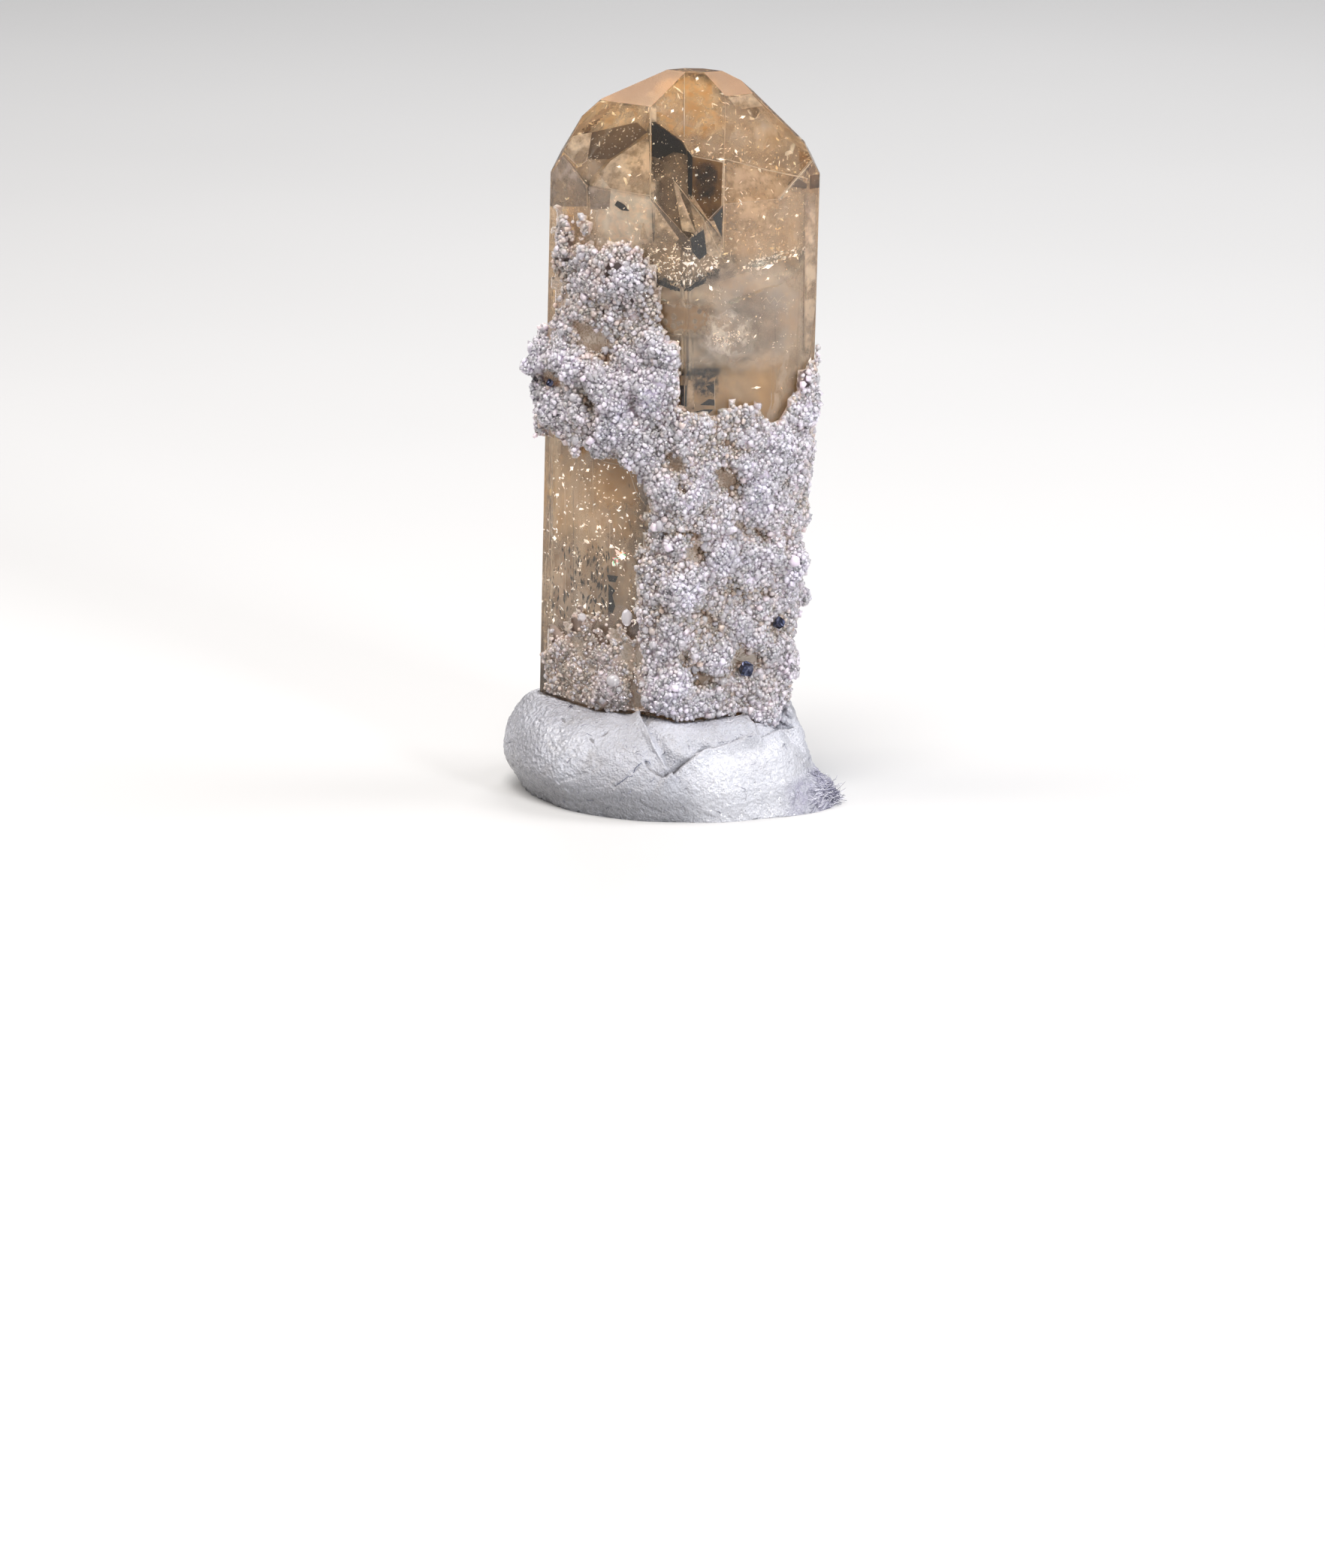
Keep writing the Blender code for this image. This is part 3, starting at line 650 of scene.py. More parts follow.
def thin_plate(dice):
    """A thin, pointed flake with few sides."""
    count = 5
    angles = np.sort(dice.uniform(0, 2 * math.pi, count))
    ring = np.column_stack([np.cos(angles), np.sin(angles), np.zeros(count)])
    points = np.vstack([ring, [[0, 0, 1.0]], [[0, 0, -1.0]]])
    faces = []
    for i in range(count):
        j = (i + 1) % count
        faces += [(i, j, count), (j, i, count + 1)]
    return points, np.array(faces)


def fibre(points, radius):
    """A thin thread along points: a closed four-sided tube."""
    points = [Vector(point) for point in points]
    rings = []
    for i, point in enumerate(points):
        ahead = points[min(i + 1, len(points) - 1)] - points[max(i - 1, 0)]
        side = ahead.cross(UP + Vector((0.1, 0.2, 0.0))).normalized()
        other = ahead.cross(side).normalized()
        slim = radius * (0.5 if i in (0, len(points) - 1) else 1.0)
        rings += [point + side * slim, point + other * slim, point - side * slim,
                  point - other * slim]
    faces = []
    for i in range(len(points) - 1):
        for k in range(4):
            a, b = 4 * i + k, 4 * i + (k + 1) % 4
            faces += [(a, b, b + 4), (a, b + 4, a + 4)]
    last = len(rings) - 4
    faces += [(0, 2, 1), (0, 3, 2), (last, last + 1, last + 2), (last, last + 2, last + 3)]
    return np.array([list(spot) for spot in rings]), np.array(faces)


def spots_on(bm, keep, per_mm2, dice):
    """Chance spots on the faces of a bmesh that pass a test: places and directions."""
    chosen = [face for face in bm.faces if keep(face)]
    corners = np.array([[vert.co for vert in face.verts] for face in chosen])
    normals = np.array([face.normal for face in chosen])
    areas = np.array([face.calc_area() for face in chosen])
    count = int(areas.sum() * per_mm2)
    which = dice.choice(len(chosen), size=count, p=areas / areas.sum())
    first = np.sqrt(dice.random((count, 1)))
    second = dice.random((count, 1))
    a, b, c = corners[which, 0], corners[which, 1], corners[which, 2]
    spots = (1 - first) * a + first * (1 - second) * b + first * second * c
    return spots, normals[which]


# The topaz: its surface, and what lies inside it

topaz_mesh = node_mesh("topaz_crystal")
topaz_tree = BVHTree.FromBMesh(topaz_mesh)


def surface_spot(tree, pixel, rise):
    """The spot of a surface that a pixel shows, raised a little."""
    spot, normal, _, _ = tree.ray_cast(View.eye, View.ray(pixel))
    return None if spot is None else spot + normal * rise


def outside_topaz(spot):
    """How far a spot is from the topaz's surface, in mm."""
    return topaz_tree.find_nearest(Vector(spot))[3]


def inside_spot(pixel, depth):
    """The spot in the topaz that a pixel shows, this far past the face it enters by."""
    ray = View.ray(pixel)
    entry, normal, _, _ = topaz_tree.ray_cast(View.eye, ray)
    if entry is None:
        return None
    facing = -normal.dot(ray)
    bend = 1.0 / TOPAZ_IOR
    steady = math.sqrt(1.0 - bend * bend * (1.0 - facing * facing))
    bent = ray * bend + normal * (bend * facing - steady)
    return entry + bent * depth


topaz_planes = np.array([(*face.normal, face.normal.dot(face.verts[0].co))
                         for face in topaz_mesh.faces])


def well_inside(spots, margin):
    """Which spots lie inside the topaz, at least this far from its faces."""
    return (spots @ topaz_planes[:, :3].T - topaz_planes[:, 3]).max(axis=1) < -margin


# How thick the plates and sheets inside the topaz are, in mm.
FILM = 0.004


def plate(points, thickness=FILM):
    """A thin closed plate from its outline: points and triangles."""
    front = np.array([list(point) for point in points])
    normal = np.zeros(3)
    for first, second in zip(front, np.roll(front, -1, axis=0)):
        normal += np.cross(first, second)
    normal /= np.linalg.norm(normal)
    count = len(front)
    both = np.vstack([front + normal * thickness / 2, front - normal * thickness / 2])
    triangles = [(0, i, i + 1) for i in range(1, count - 1)]
    triangles += [(count, count + i + 1, count + i) for i in range(1, count - 1)]
    for i in range(count):
        j = (i + 1) % count
        triangles += [(i, count + i, count + j), (i, count + j, j)]
    return both, np.array(triangles)


def joined(shapes):
    """Several sets of points and triangles as one."""
    points, triangles, start = [], [], 0
    for corners, faces in shapes:
        points.append(corners)
        triangles.append(faces + start)
        start += len(corners)
    return np.concatenate(points), np.concatenate(triangles)


def add_plates(name, outlines, material):
    """Thin plates inside the topaz. Each outline is a depth and the pixels of its corners."""
    shapes = [plate([inside_spot(pixel, depth) for pixel in pixels]) for depth, pixels in outlines]
    points, triangles = joined(shapes)
    add_piece(name, mesh_from(name, points, triangles), material)


def thin_sheet(grid, kept):
    """A thin closed sheet from a grid of spots: its points, its triangles and each point's cell.

    It leaves out each cell with a corner that isn't kept.
    """
    rows, columns = kept.shape
    normal = np.cross(np.gradient(grid, axis=1), np.gradient(grid, axis=0))
    normal /= np.linalg.norm(normal, axis=2, keepdims=True)
    half = normal * FILM / 2
    points = np.concatenate([(grid + half).reshape(-1, 3), (grid - half).reshape(-1, 3)])
    number = np.arange(rows * columns).reshape(rows, columns)
    whole = kept[:-1, :-1] & kept[1:, :-1] & kept[:-1, 1:] & kept[1:, 1:]
    rings = np.stack([number[:-1, :-1], number[:-1, 1:], number[1:, 1:], number[1:, :-1]],
                     axis=-1)[whole]
    front = np.concatenate([rings[:, [0, 1, 2]], rings[:, [0, 2, 3]]])
    sides = {(a, b) for ring in rings for a, b in zip(ring, np.roll(ring, -1))}
    rim = np.array([(a, b) for a, b in sides if (b, a) not in sides])
    a, b, behind = rim[:, 0], rim[:, 1], rows * columns
    edge = np.concatenate([np.column_stack([b, a, a + behind]),
                           np.column_stack([b, a + behind, b + behind])])
    triangles = np.concatenate([front, front[:, ::-1] + behind, edge])
    used, renumbered = np.unique(triangles, return_inverse=True)
    return points[used], renumbered.reshape(-1, 3), used % behind


# How far from the topaz's faces the sheets inside it reach their full strength, in mm.
FADE = 0.30


def add_sheet(name, spot, size, spacing, material):
    """A wavy sheet inside the topaz, cut off where it would leave it.

    spot gives the place of the sheet at two distances, each from -1 to 1.
    """
    wide, high = (max(2, round(length / spacing)) for length in size)
    grid = np.array([[spot(2 * i / wide - 1, 2 * j / high - 1) for i in range(wide + 1)]
                     for j in range(high + 1)])
    inside = well_inside(grid.reshape(-1, 3), 0.03).reshape(high + 1, wide + 1)
    points, triangles, _ = thin_sheet(grid, inside)
    depths = (topaz_planes[:, 3] - points @ topaz_planes[:, :3].T).min(axis=1)
    edge = np.clip((depths - 0.04) / FADE, 0.0, 1.0)
    add_piece(name, mesh_from(name, points, triangles, {"edge": edge}), material)


def add_patch(name, depth, corners, material, waves=0.04, spacing=4.0):
    """A soft-edged sheet inside the topaz, between four pixels of the picture.

    The corners go round from the upper left, and the depth is in mm.
    """
    first, second, third, fourth = (Vector(corner) for corner in corners)
    wide = max(6, round((second - first).length / spacing))
    high = max(6, round((fourth - first).length / spacing))
    grid = np.zeros((high + 1, wide + 1, 3))
    kept = np.zeros((high + 1, wide + 1), bool)
    edge = np.zeros((high + 1, wide + 1))
    for j in range(high + 1):
        for i in range(wide + 1):
            across, down = i / wide, j / high
            pixel = first.lerp(second, across).lerp(fourth.lerp(third, across), down)
            wave = noise.noise(Vector((pixel.x / 14.0, pixel.y / 14.0, depth * 9.0)))
            spot = inside_spot(pixel, max(0.05, depth + waves * wave))
            if spot is not None:
                grid[j, i] = spot
                kept[j, i] = True
            round_off = math.sin(math.pi * across) * math.sin(math.pi * down)
            ragged = noise.noise(Vector((pixel.x / 11.0, pixel.y / 11.0, 7.0)))
            edge[j, i] = smooth_step(round_off + 0.30 * ragged * (1.0 - round_off), 0.04, 0.62)
    kept &= well_inside(grid.reshape(-1, 3), 0.02).reshape(kept.shape)
    points, triangles, cells = thin_sheet(grid, kept)
    mesh = mesh_from(name, points, triangles, {"edge": edge.ravel()[cells]})
    add_piece(name, mesh, material)


# Layers of haze from the front of the topaz to its back: how far back each lies in mm, its tilt,
# the phase of its waves, and how dense its thin and thick places are.
HAZE = (
    (-0.62, 0.05, 1.0, 0.18, 0.62),
    (0.10, -0.08, 4.0, 0.16, 0.55),
    (0.75, 0.06, 9.0, 0.06, 0.30),
)
TOPAZ_MIDDLE = 6.0
HAZE_HALF_WIDE = 2.15
HAZE_HALF_HIGH = 5.9
HAZE_WAVES = 0.35


def add_clouds():
    for number, (back, tilt, phase, thin, dense) in enumerate(HAZE, 1):
        def spot(across, up):
            x = across * HAZE_HALF_WIDE
            z = TOPAZ_MIDDLE + up * HAZE_HALF_HIGH
            wave = HAZE_WAVES * noise.noise(Vector((x * 0.8, z * 0.5, phase)))
            return x, back + tilt * (z - TOPAZ_MIDDLE) * 0.3 + wave, z
        material = cloud_finish(f"fine_inclusions_{number}", thin, dense)
        size = (2 * HAZE_HALF_WIDE, 2 * HAZE_HALF_HIGH)
        add_sheet(f"haze_{number}", spot, size, 0.12, material)


def chance_spots(count, margin, dice, low=0.8, high=12.0):
    """Chance spots in the topaz between two heights."""
    spots = dice.uniform((-2.3, -1.6, low), (2.5, 1.6, high), size=(count * 3, 3))
    return spots[well_inside(spots, margin)][:count]


# Golden flakes all through the topaz: their name, their length in mm, then counts and the heights
# that each count lies between.
GOLDEN_FLAKES = (
    ("golden_dust", 0.008, ((3500, 0.8, 12.0), (2000, 9.2, 12.0))),
    ("golden_flecks", 0.024, ((650, 0.8, 12.0), (520, 9.2, 12.0), (260, 8.7, 9.3))),
    ("golden_shards", 0.050, ((60, 0.8, 9.0), (70, 9.0, 12.0))),
)


def add_flecks():
    """Bright flakes all through the topaz, most of them in its tip and at the fracture. They glow:
    painted light.
    """
    dice = np.random.default_rng(5)
    shapes = [thin_plate(dice) for _ in range(6)]
    bright = fleck_finish("golden_flecks", (1.0, 0.78, 0.46), (1.0, 0.96, 0.88), 0.30)
    for name, size, crowds in GOLDEN_FLAKES:
        spots = np.concatenate([chance_spots(count, 0.05, dice, low, high)
                                for count, low, high in crowds])
        length = dice.gamma(3.0, size / 3.0, size=(len(spots), 1)) + 0.3 * size
        sizes = length * np.array([[1.0, 0.5, 0.14]])
        points, triangles, _ = strew(shapes, spots, dice.normal(size=spots.shape), sizes, dice)
        add_piece(name, mesh_from(name, points, triangles), bright)


# Windows and panes inside the topaz, by finish: depth in mm, then corners in the picture. The dark,
# brown, black, faint shade and grey ones are sheets of painted shade.
WINDOWS = (
    ("dark_windows", (
        (0.16, ((867, 163), (872, 162), (910, 189), (915, 200), (916, 258), (923, 290), (931, 322),
                (916, 340), (897, 322), (870, 322), (868, 272))),)),
    ("brown_windows", (
        (0.16, ((922, 209), (962, 216), (962, 292), (943, 292), (921, 258))),
        (0.16, ((1078, 234), (1090, 232), (1090, 250), (1078, 252))))),
    ("black_bars", (
        (0.10, ((868, 166), (873, 165), (908, 189), (914, 200), (914, 206), (897, 202), (880, 212),
                (868, 208))),
        (0.10, ((915, 200), (922, 207), (921, 266), (916, 258))),
        (0.10, ((949, 290), (962, 276), (961, 316))),
        (0.09, ((918, 316), (937, 305), (941, 338), (931, 346), (922, 336))),
        (0.10, ((905, 513), (911, 513), (911, 541), (907, 541))),
        (0.10, ((940, 514), (951, 511), (951, 524), (946, 522))),
        (0.10, ((932, 539), (944, 531), (951, 532), (951, 540))),
        (0.10, ((921, 549), (938, 545), (950, 545), (944, 550))),
        (0.07, ((808, 765), (823, 767), (819, 775), (811, 774))),
        (0.07, ((810, 777), (819, 786), (815, 792), (819, 807), (816, 816), (810, 817))),
        (0.08, ((822, 267), (831, 272), (838, 281), (828, 280), (818, 273))),
        (0.08, ((862, 366), (872, 371), (890, 379), (905, 384), (905, 388), (888, 383), (870, 375))),
        (0.08, ((913, 384), (926, 376), (936, 373), (937, 378), (926, 382), (918, 388))))),
    ("smoky_windows", (
        (0.16, ((788, 176), (848, 163), (862, 176), (852, 183), (836, 196), (811, 212), (782, 212))),
        (0.14, ((1051, 248), (1061, 237), (1075, 245), (1073, 251))))),
    ("grey_panes", (
        (0.16, ((751, 206), (782, 245), (783, 275), (734, 275), (734, 233))),
        (0.15, ((784, 250), (813, 254), (811, 278), (786, 278))),
        (0.15, ((846, 642), (862, 646), (876, 662), (873, 674), (858, 672))))),
    ("amber_panes", (
        (0.15, ((912, 506), (924, 506), (924, 545), (912, 545))),
        (0.17, ((966, 213), (1075, 238), (1074, 251), (1037, 266), (1034, 312), (966, 306))))),
    ("pale_panes", (
        (0.10, ((866, 139), (874, 141), (874, 162), (867, 163))),
        (0.13, ((896, 239), (906, 250), (935, 289), (961, 318), (962, 344), (944, 340), (925, 312),
                (906, 309), (903, 278))),
        (0.12, ((873, 275), (904, 318), (898, 324), (871, 324))),
        (0.12, ((763, 181), (788, 176), (782, 212), (770, 221), (752, 202))),
        (0.05, ((970, 130), (1001, 125), (1016, 141), (982, 146))),
        (0.10, ((856, 295), (863, 318), (852, 318))),
        (0.14, ((813, 214), (838, 197), (864, 180), (865, 262), (840, 258), (812, 250), (798, 232))),
        (0.05, ((1072, 258), (1086, 256), (1086, 400), (1078, 472), (1071, 474))))),
    ("silver_films", (
        (0.08, ((985, 354), (1010, 345), (1040, 337), (1075, 330), (1040, 343), (1008, 356))),
        (0.08, ((943, 376), (948, 377), (955, 392), (950, 391))),
        (0.07, ((1036, 266), (1081, 214), (1082, 217), (1038, 268))))),
)


def add_windows():
    # The dark, brown, black, faint shade and grey finishes are painted shade.
    finishes = {
        "dark_windows": shade_window_finish("dark_window", (0.008, 0.005, 0.004), (0.27, 0.185, 0.12),
                                     0.52, 0.99, (11.20, 10.85)),
        "brown_windows": shade_window_finish("brown_window", (0.14, 0.070, 0.022), (0.40, 0.215, 0.085),
                                      0.75, 0.95, (10.45, 11.00)),
        "black_bars": shade_window_finish("black_window", (0.003, 0.002, 0.003), (0.02, 0.014, 0.014),
                                   0.9, 1.0),
        "smoky_windows": shade_window_finish("faint_shade_window", (0.19, 0.125, 0.08), (0.33, 0.235, 0.165),
                                      0.55, 0.85),
        "grey_panes": pane_finish("grey_shade_pane", (0.32, 0.25, 0.20), (0.58, 0.49, 0.45), 0.35, 0.75),
        "amber_panes": pane_finish("amber_pane", (0.56, 0.38, 0.22), (0.86, 0.66, 0.47), 0.30, 0.65),
        "pale_panes": pane_finish("pale_pane", (0.62, 0.48, 0.35), (1.0, 0.86, 0.70), 0.35, 0.80),
        "silver_films": silver_film_finish("silver_film", 0.95)}
    for name, outlines in WINDOWS:
        add_plates(name, outlines, finishes[name])


# Lines inside the topaz, by finish: depth in mm, half width in mm, then points of the picture. The
# light lines are painted highlights and the dark ones painted shade.
LINES = (
    ("light_lines", (
        (0.02, 0.008, ((911, 98), (911, 182))), (0.02, 0.008, ((964, 214), (963, 345))),
        (0.02, 0.009, ((966, 212), (1020, 226), (1076, 238))),
        (0.03, 0.010, ((1036, 266), (1081, 215))),
        (0.02, 0.009, ((866, 140), (866, 268), (873, 275))),
        (0.05, 0.007, ((896, 239), (935, 289), (962, 345))),
        (0.05, 0.006, ((910, 189), (916, 200), (922, 208), (962, 216))),
        (0.03, 0.008, ((792, 608), (806, 615), (833, 620), (839, 630), (846, 653), (860, 674))),
        (0.02, 0.008, ((734, 630), (735, 720), (733, 830))), (0.02, 0.005, ((789, 612), (790, 690))),
        (0.02, 0.004, ((812, 690), (812, 762))), (0.02, 0.004, ((752, 640), (753, 815))),
        (0.03, 0.006, ((951, 505), (952, 549))), (0.02, 0.007, ((782, 213), (770, 222), (752, 204))),
        (0.02, 0.006, ((1014, 402), (1020, 396), (1025, 404), (1031, 396), (1035, 403),
                       (1041, 395))))),
    ("dark_lines", (
        (0.02, 0.009, ((1071, 254), (1070, 360), (1069, 476))),
        (0.02, 0.006, ((1032, 418), (1032, 456))),
        (0.03, 0.006, ((751, 206), (783, 247), (784, 276))), (0.03, 0.006, ((910, 120), (910, 178))),
        (0.03, 0.005, ((734, 640), (733, 730))), (0.04, 0.005, ((763, 650), (764, 812))),
        (0.04, 0.004, ((800, 735), (800, 818))))),
)


def add_lines():
    """The light and dark lines inside the topaz, where its faces and panes meet: painted highlights and
    painted shade.
    """
    finishes = {"light_lines": line_finish("painted_bright_line", (1.0, 0.88, 0.74), 0.85),
                "dark_lines": line_finish("painted_shade_line", (0.20, 0.13, 0.08), 0.75)}
    for name, lines in LINES:
        shapes = [fibre(inside_path(pixels, depth), radius) for depth, radius, pixels in lines]
        points, triangles = joined(shapes)
        add_piece(name, mesh_from(name, points, triangles), finishes[name])


def inside_path(pixels, depth, spacing=12.0):
    """Spots in the topaz along a line through pixels, close enough together to follow its faces."""
    path = []
    for first, last in zip(pixels, pixels[1:]):
        first, last = Vector(first), Vector(last)
        count = max(1, round((last - first).length / spacing))
        path += [inside_spot(first.lerp(last, i / count), depth) for i in range(count)]
    return path + [inside_spot(Vector(pixels[-1]), depth)]


# Which edges of the topaz get a painted highlight, and how far inside them it lies, in mm.
SHARP_EDGE = math.radians(4.0)
HIGHLIGHT_DEPTH = 0.016
HIGHLIGHT_RADIUS = 0.006
SHORTEST_HIGHLIGHT = 0.08
LOWEST_HIGHLIGHT = 1.2


def add_edge_lines():
    """Painted highlights: fine bright lines along the topaz's sharp edges, just inside them."""
    shapes = []
    for edge in topaz_mesh.edges:
        if len(edge.link_faces) == 2 and edge.calc_face_angle() > SHARP_EDGE:
            first, last = (vert.co.copy() for vert in edge.verts)
            inward = -(edge.link_faces[0].normal + edge.link_faces[1].normal).normalized()
            if (last - first).length > SHORTEST_HIGHLIGHT and min(first.z, last.z) > LOWEST_HIGHLIGHT:
                ends = (first.lerp(last, 0.02), first.lerp(last, 0.98))
                shapes.append(fibre([end + inward * HIGHLIGHT_DEPTH for end in ends], HIGHLIGHT_RADIUS))
    points, triangles = joined(shapes)
    add_piece("worn_edges", mesh_from("worn_edges", points, triangles),
              line_finish("edge_highlight", (1.0, 0.84, 0.68), 0.7))


# Single bright sparkles in the topaz, painted highlights that glow: a pixel, half length and half width
# in mm, and a tilt in turns.
SPARKLES = (
    ((1022, 355), 0.11, 0.04, 0.05), ((946, 383), 0.075, 0.03, -0.16),
    ((928, 200), 0.06, 0.045, 0.2), ((1078, 482), 0.075, 0.035, 0.22),
    ((1058, 340), 0.07, 0.03, 0.05), ((1007, 516), 0.095, 0.022, 0.01),
    ((921, 351), 0.05, 0.03, 0.12), ((980, 202), 0.055, 0.028, 0.3),
    ((1022, 371), 0.045, 0.025, 0.1), ((1060, 287), 0.045, 0.028, 0.0),
    ((947, 357), 0.045, 0.03, 0.2), ((1047, 255), 0.04, 0.03, 0.0),
    ((1017, 289), 0.042, 0.028, 0.3), ((969, 348), 0.04, 0.028, 0.1),
    ((827, 741), 0.085, 0.06, 0.0), ((761, 624), 0.065, 0.04, 0.12),
    ((738, 716), 0.06, 0.05, 0.0), ((737, 826), 0.06, 0.03, 0.2), ((782, 626), 0.05, 0.03, 0.1),
    ((750, 646), 0.06, 0.025, 0.3), ((843, 628), 0.04, 0.028, 0.2),
    ((798, 804), 0.06, 0.02, -0.03), ((764, 736), 0.04, 0.03, 0.0),
    ((959, 212), 0.08, 0.022, -0.02), ((988, 156), 0.07, 0.028, 0.06),
    ((895, 148), 0.05, 0.03, 0.15), ((928, 105), 0.045, 0.03, 0.2),
    ((843, 160), 0.06, 0.02, 0.16), ((824, 222), 0.06, 0.022, -0.04),
    ((838, 233), 0.04, 0.022, -0.05), ((872, 264), 0.05, 0.02, 0.22),
    ((902, 455), 0.04, 0.03, 0.0), ((1005, 448), 0.045, 0.016, 0.15),
)


def add_sparkles():
    """The brightest sparkles: painted highlights, each a small glowing four-pointed star."""
    dice = np.random.default_rng(41)
    shapes = []
    for pixel, long, short, tilt in SPARKLES:
        middle = inside_spot(pixel, 0.06)
        turn = 2 * math.pi * tilt
        along = View.right * math.cos(turn) + View.above * math.sin(turn)
        across = View.above * math.cos(turn) - View.right * math.sin(turn)
        corners = []
        for i in range(8):
            angle = math.pi * i / 4
            reach = (0.42 if i % 2 else 1.0) * dice.uniform(0.8, 1.1)
            corners.append(middle + along * long * reach * math.cos(angle)
                           + across * short * reach * math.sin(angle))
        shapes.append(plate(corners, 0.006))
    points, triangles = joined(shapes)
    add_piece("bright_sparkles", mesh_from("bright_sparkles", points, triangles),
              fleck_finish("bright_sparkle", (1.0, 0.93, 0.82), (1.0, 0.99, 1.0), 1.0, 0.0))


# The middle of the crack across the topaz, half its width and half its length from front to back,
# and how far it rises to the back, all in mm.
CRACK_MIDDLE = (0.75, -0.55, 8.72)
CRACK_HALF_WIDE = 1.4
CRACK_HALF_LONG = 0.75
CRACK_RISE = 0.28


def add_fracture():
    """The curved crack across the topaz, below its tip."""

    def spot(across, up):
        x = CRACK_MIDDLE[0] + across * CRACK_HALF_WIDE
        y = CRACK_MIDDLE[1] + up * CRACK_HALF_LONG
        sag = 0.16 * (across - 0.1) ** 2
        wave = 0.10 * noise.noise(Vector((x * 2.4, y * 2.4, 3.0)))
        return x, y, CRACK_MIDDLE[2] + CRACK_RISE * up + sag + wave

    size = (2 * CRACK_HALF_WIDE, 2 * CRACK_HALF_LONG)
    add_sheet("fracture_film", spot, size, 0.05, silver_film_finish("fracture_film", 0.85))


# Crowds of flakes behind regions of the picture: name, finish, count, flake length in mm, its
# three proportions, the depths in mm they lie between, and the region's corners.
FLAT = (1.0, 0.6, 0.16)
SLIM = (1.0, 0.28, 0.12)
STANDING = (0.32, 0.26, 1.0)
# The bright, silver, white and rainbow crowds glow: painted highlights.
CROWDS = (
    ("fracture_sparks", "silver", 200, 0.022, FLAT, (0.05, 0.40),
     ((866, 330), (962, 326), (962, 350), (930, 372), (905, 380), (880, 372), (862, 345))),
    ("fracture_dots", "dark", 180, 0.024, FLAT, (0.05, 0.12),
     ((862, 356), (880, 368), (905, 378), (930, 370), (960, 350), (960, 362), (932, 380), (905, 388),
      (878, 379), (860, 366))),
    ("streak_sparks", "silver", 130, 0.024, FLAT, (0.05, 0.40),
     ((985, 352), (1030, 336), (1084, 324), (1088, 334), (1040, 347), (996, 362))),
    ("tip_sparks", "silver", 130, 0.024, FLAT, (0.08, 0.50),
     ((784, 255), (862, 268), (866, 330), (790, 335))),
    ("panel_sparks", "bright", 150, 0.012, FLAT, (0.04, 0.12),
     ((869, 175), (908, 192), (918, 212), (945, 345), (872, 325))),
    ("window_sparks", "bright", 70, 0.012, FLAT, (0.04, 0.13),
     ((784, 214), (790, 180), (848, 164), (858, 175), (812, 211))),
    ("brown_area_sparks", "bright", 40, 0.011, FLAT, (0.04, 0.12),
     ((923, 214), (961, 220), (961, 290), (940, 288), (923, 262))),
    ("brown_slivers", "dark", 170, 0.040, STANDING, (0.03, 0.12),
     ((730, 728), (812, 728), (812, 822), (730, 822))),
    ("smoke_slivers", "brown", 90, 0.040, STANDING, (0.08, 0.60),
     ((720, 600), (858, 640), (862, 815), (720, 815))),
    ("left_sparks", "white", 420, 0.022, FLAT, (0.03, 0.25),
     ((722, 600), (852, 625), (858, 830), (722, 830))),
    ("tip_shards", "silver", 110, 0.030, SLIM, (0.05, 0.40),
     ((790, 165), (870, 130), (960, 112), (1066, 200), (1062, 320), (966, 330), (962, 215),
      (868, 165))),
    ("veil_glow", "silver", 130, 0.012, FLAT, (0.04, 0.10),
     ((948, 442), (986, 440), (984, 460), (950, 462))),
    ("veil_sparks", "silver", 170, 0.012, FLAT, (0.05, 0.25),
     ((945, 385), (1060, 385), (1060, 470), (945, 470))),
    ("rainbow_flakes", "rainbow", 14, 0.030, FLAT, (0.05, 0.12),
     ((816, 735), (838, 735), (838, 756), (816, 756))),
    ("rainbow_chips", "rainbow", 16, 0.038, FLAT, (0.05, 0.10),
     ((887, 529), (898, 529), (898, 562), (887, 562))),
)


def within(pixel, corners):
    """Whether a pixel lies in a region."""
    odd = False
    for (x1, y1), (x2, y2) in zip(corners, corners[1:] + corners[:1]):
        if (y1 > pixel[1]) != (y2 > pixel[1]):
            if pixel[0] < x1 + (pixel[1] - y1) * (x2 - x1) / (y2 - y1):
                odd = not odd
    return odd


def crowd_spots(count, depths, corners, dice):
    """Chance spots in the topaz behind a region of the picture."""
    low, high = np.min(corners, axis=0), np.max(corners, axis=0)
    spots = []
    while len(spots) < count:
        pixel = dice.uniform(low, high)
        if within(pixel, corners):
            spot = inside_spot(pixel, dice.uniform(*depths))
            if spot is not None:
                spots.append(list(spot))
    spots = np.array(spots)
    return spots[well_inside(spots, 0.03)]


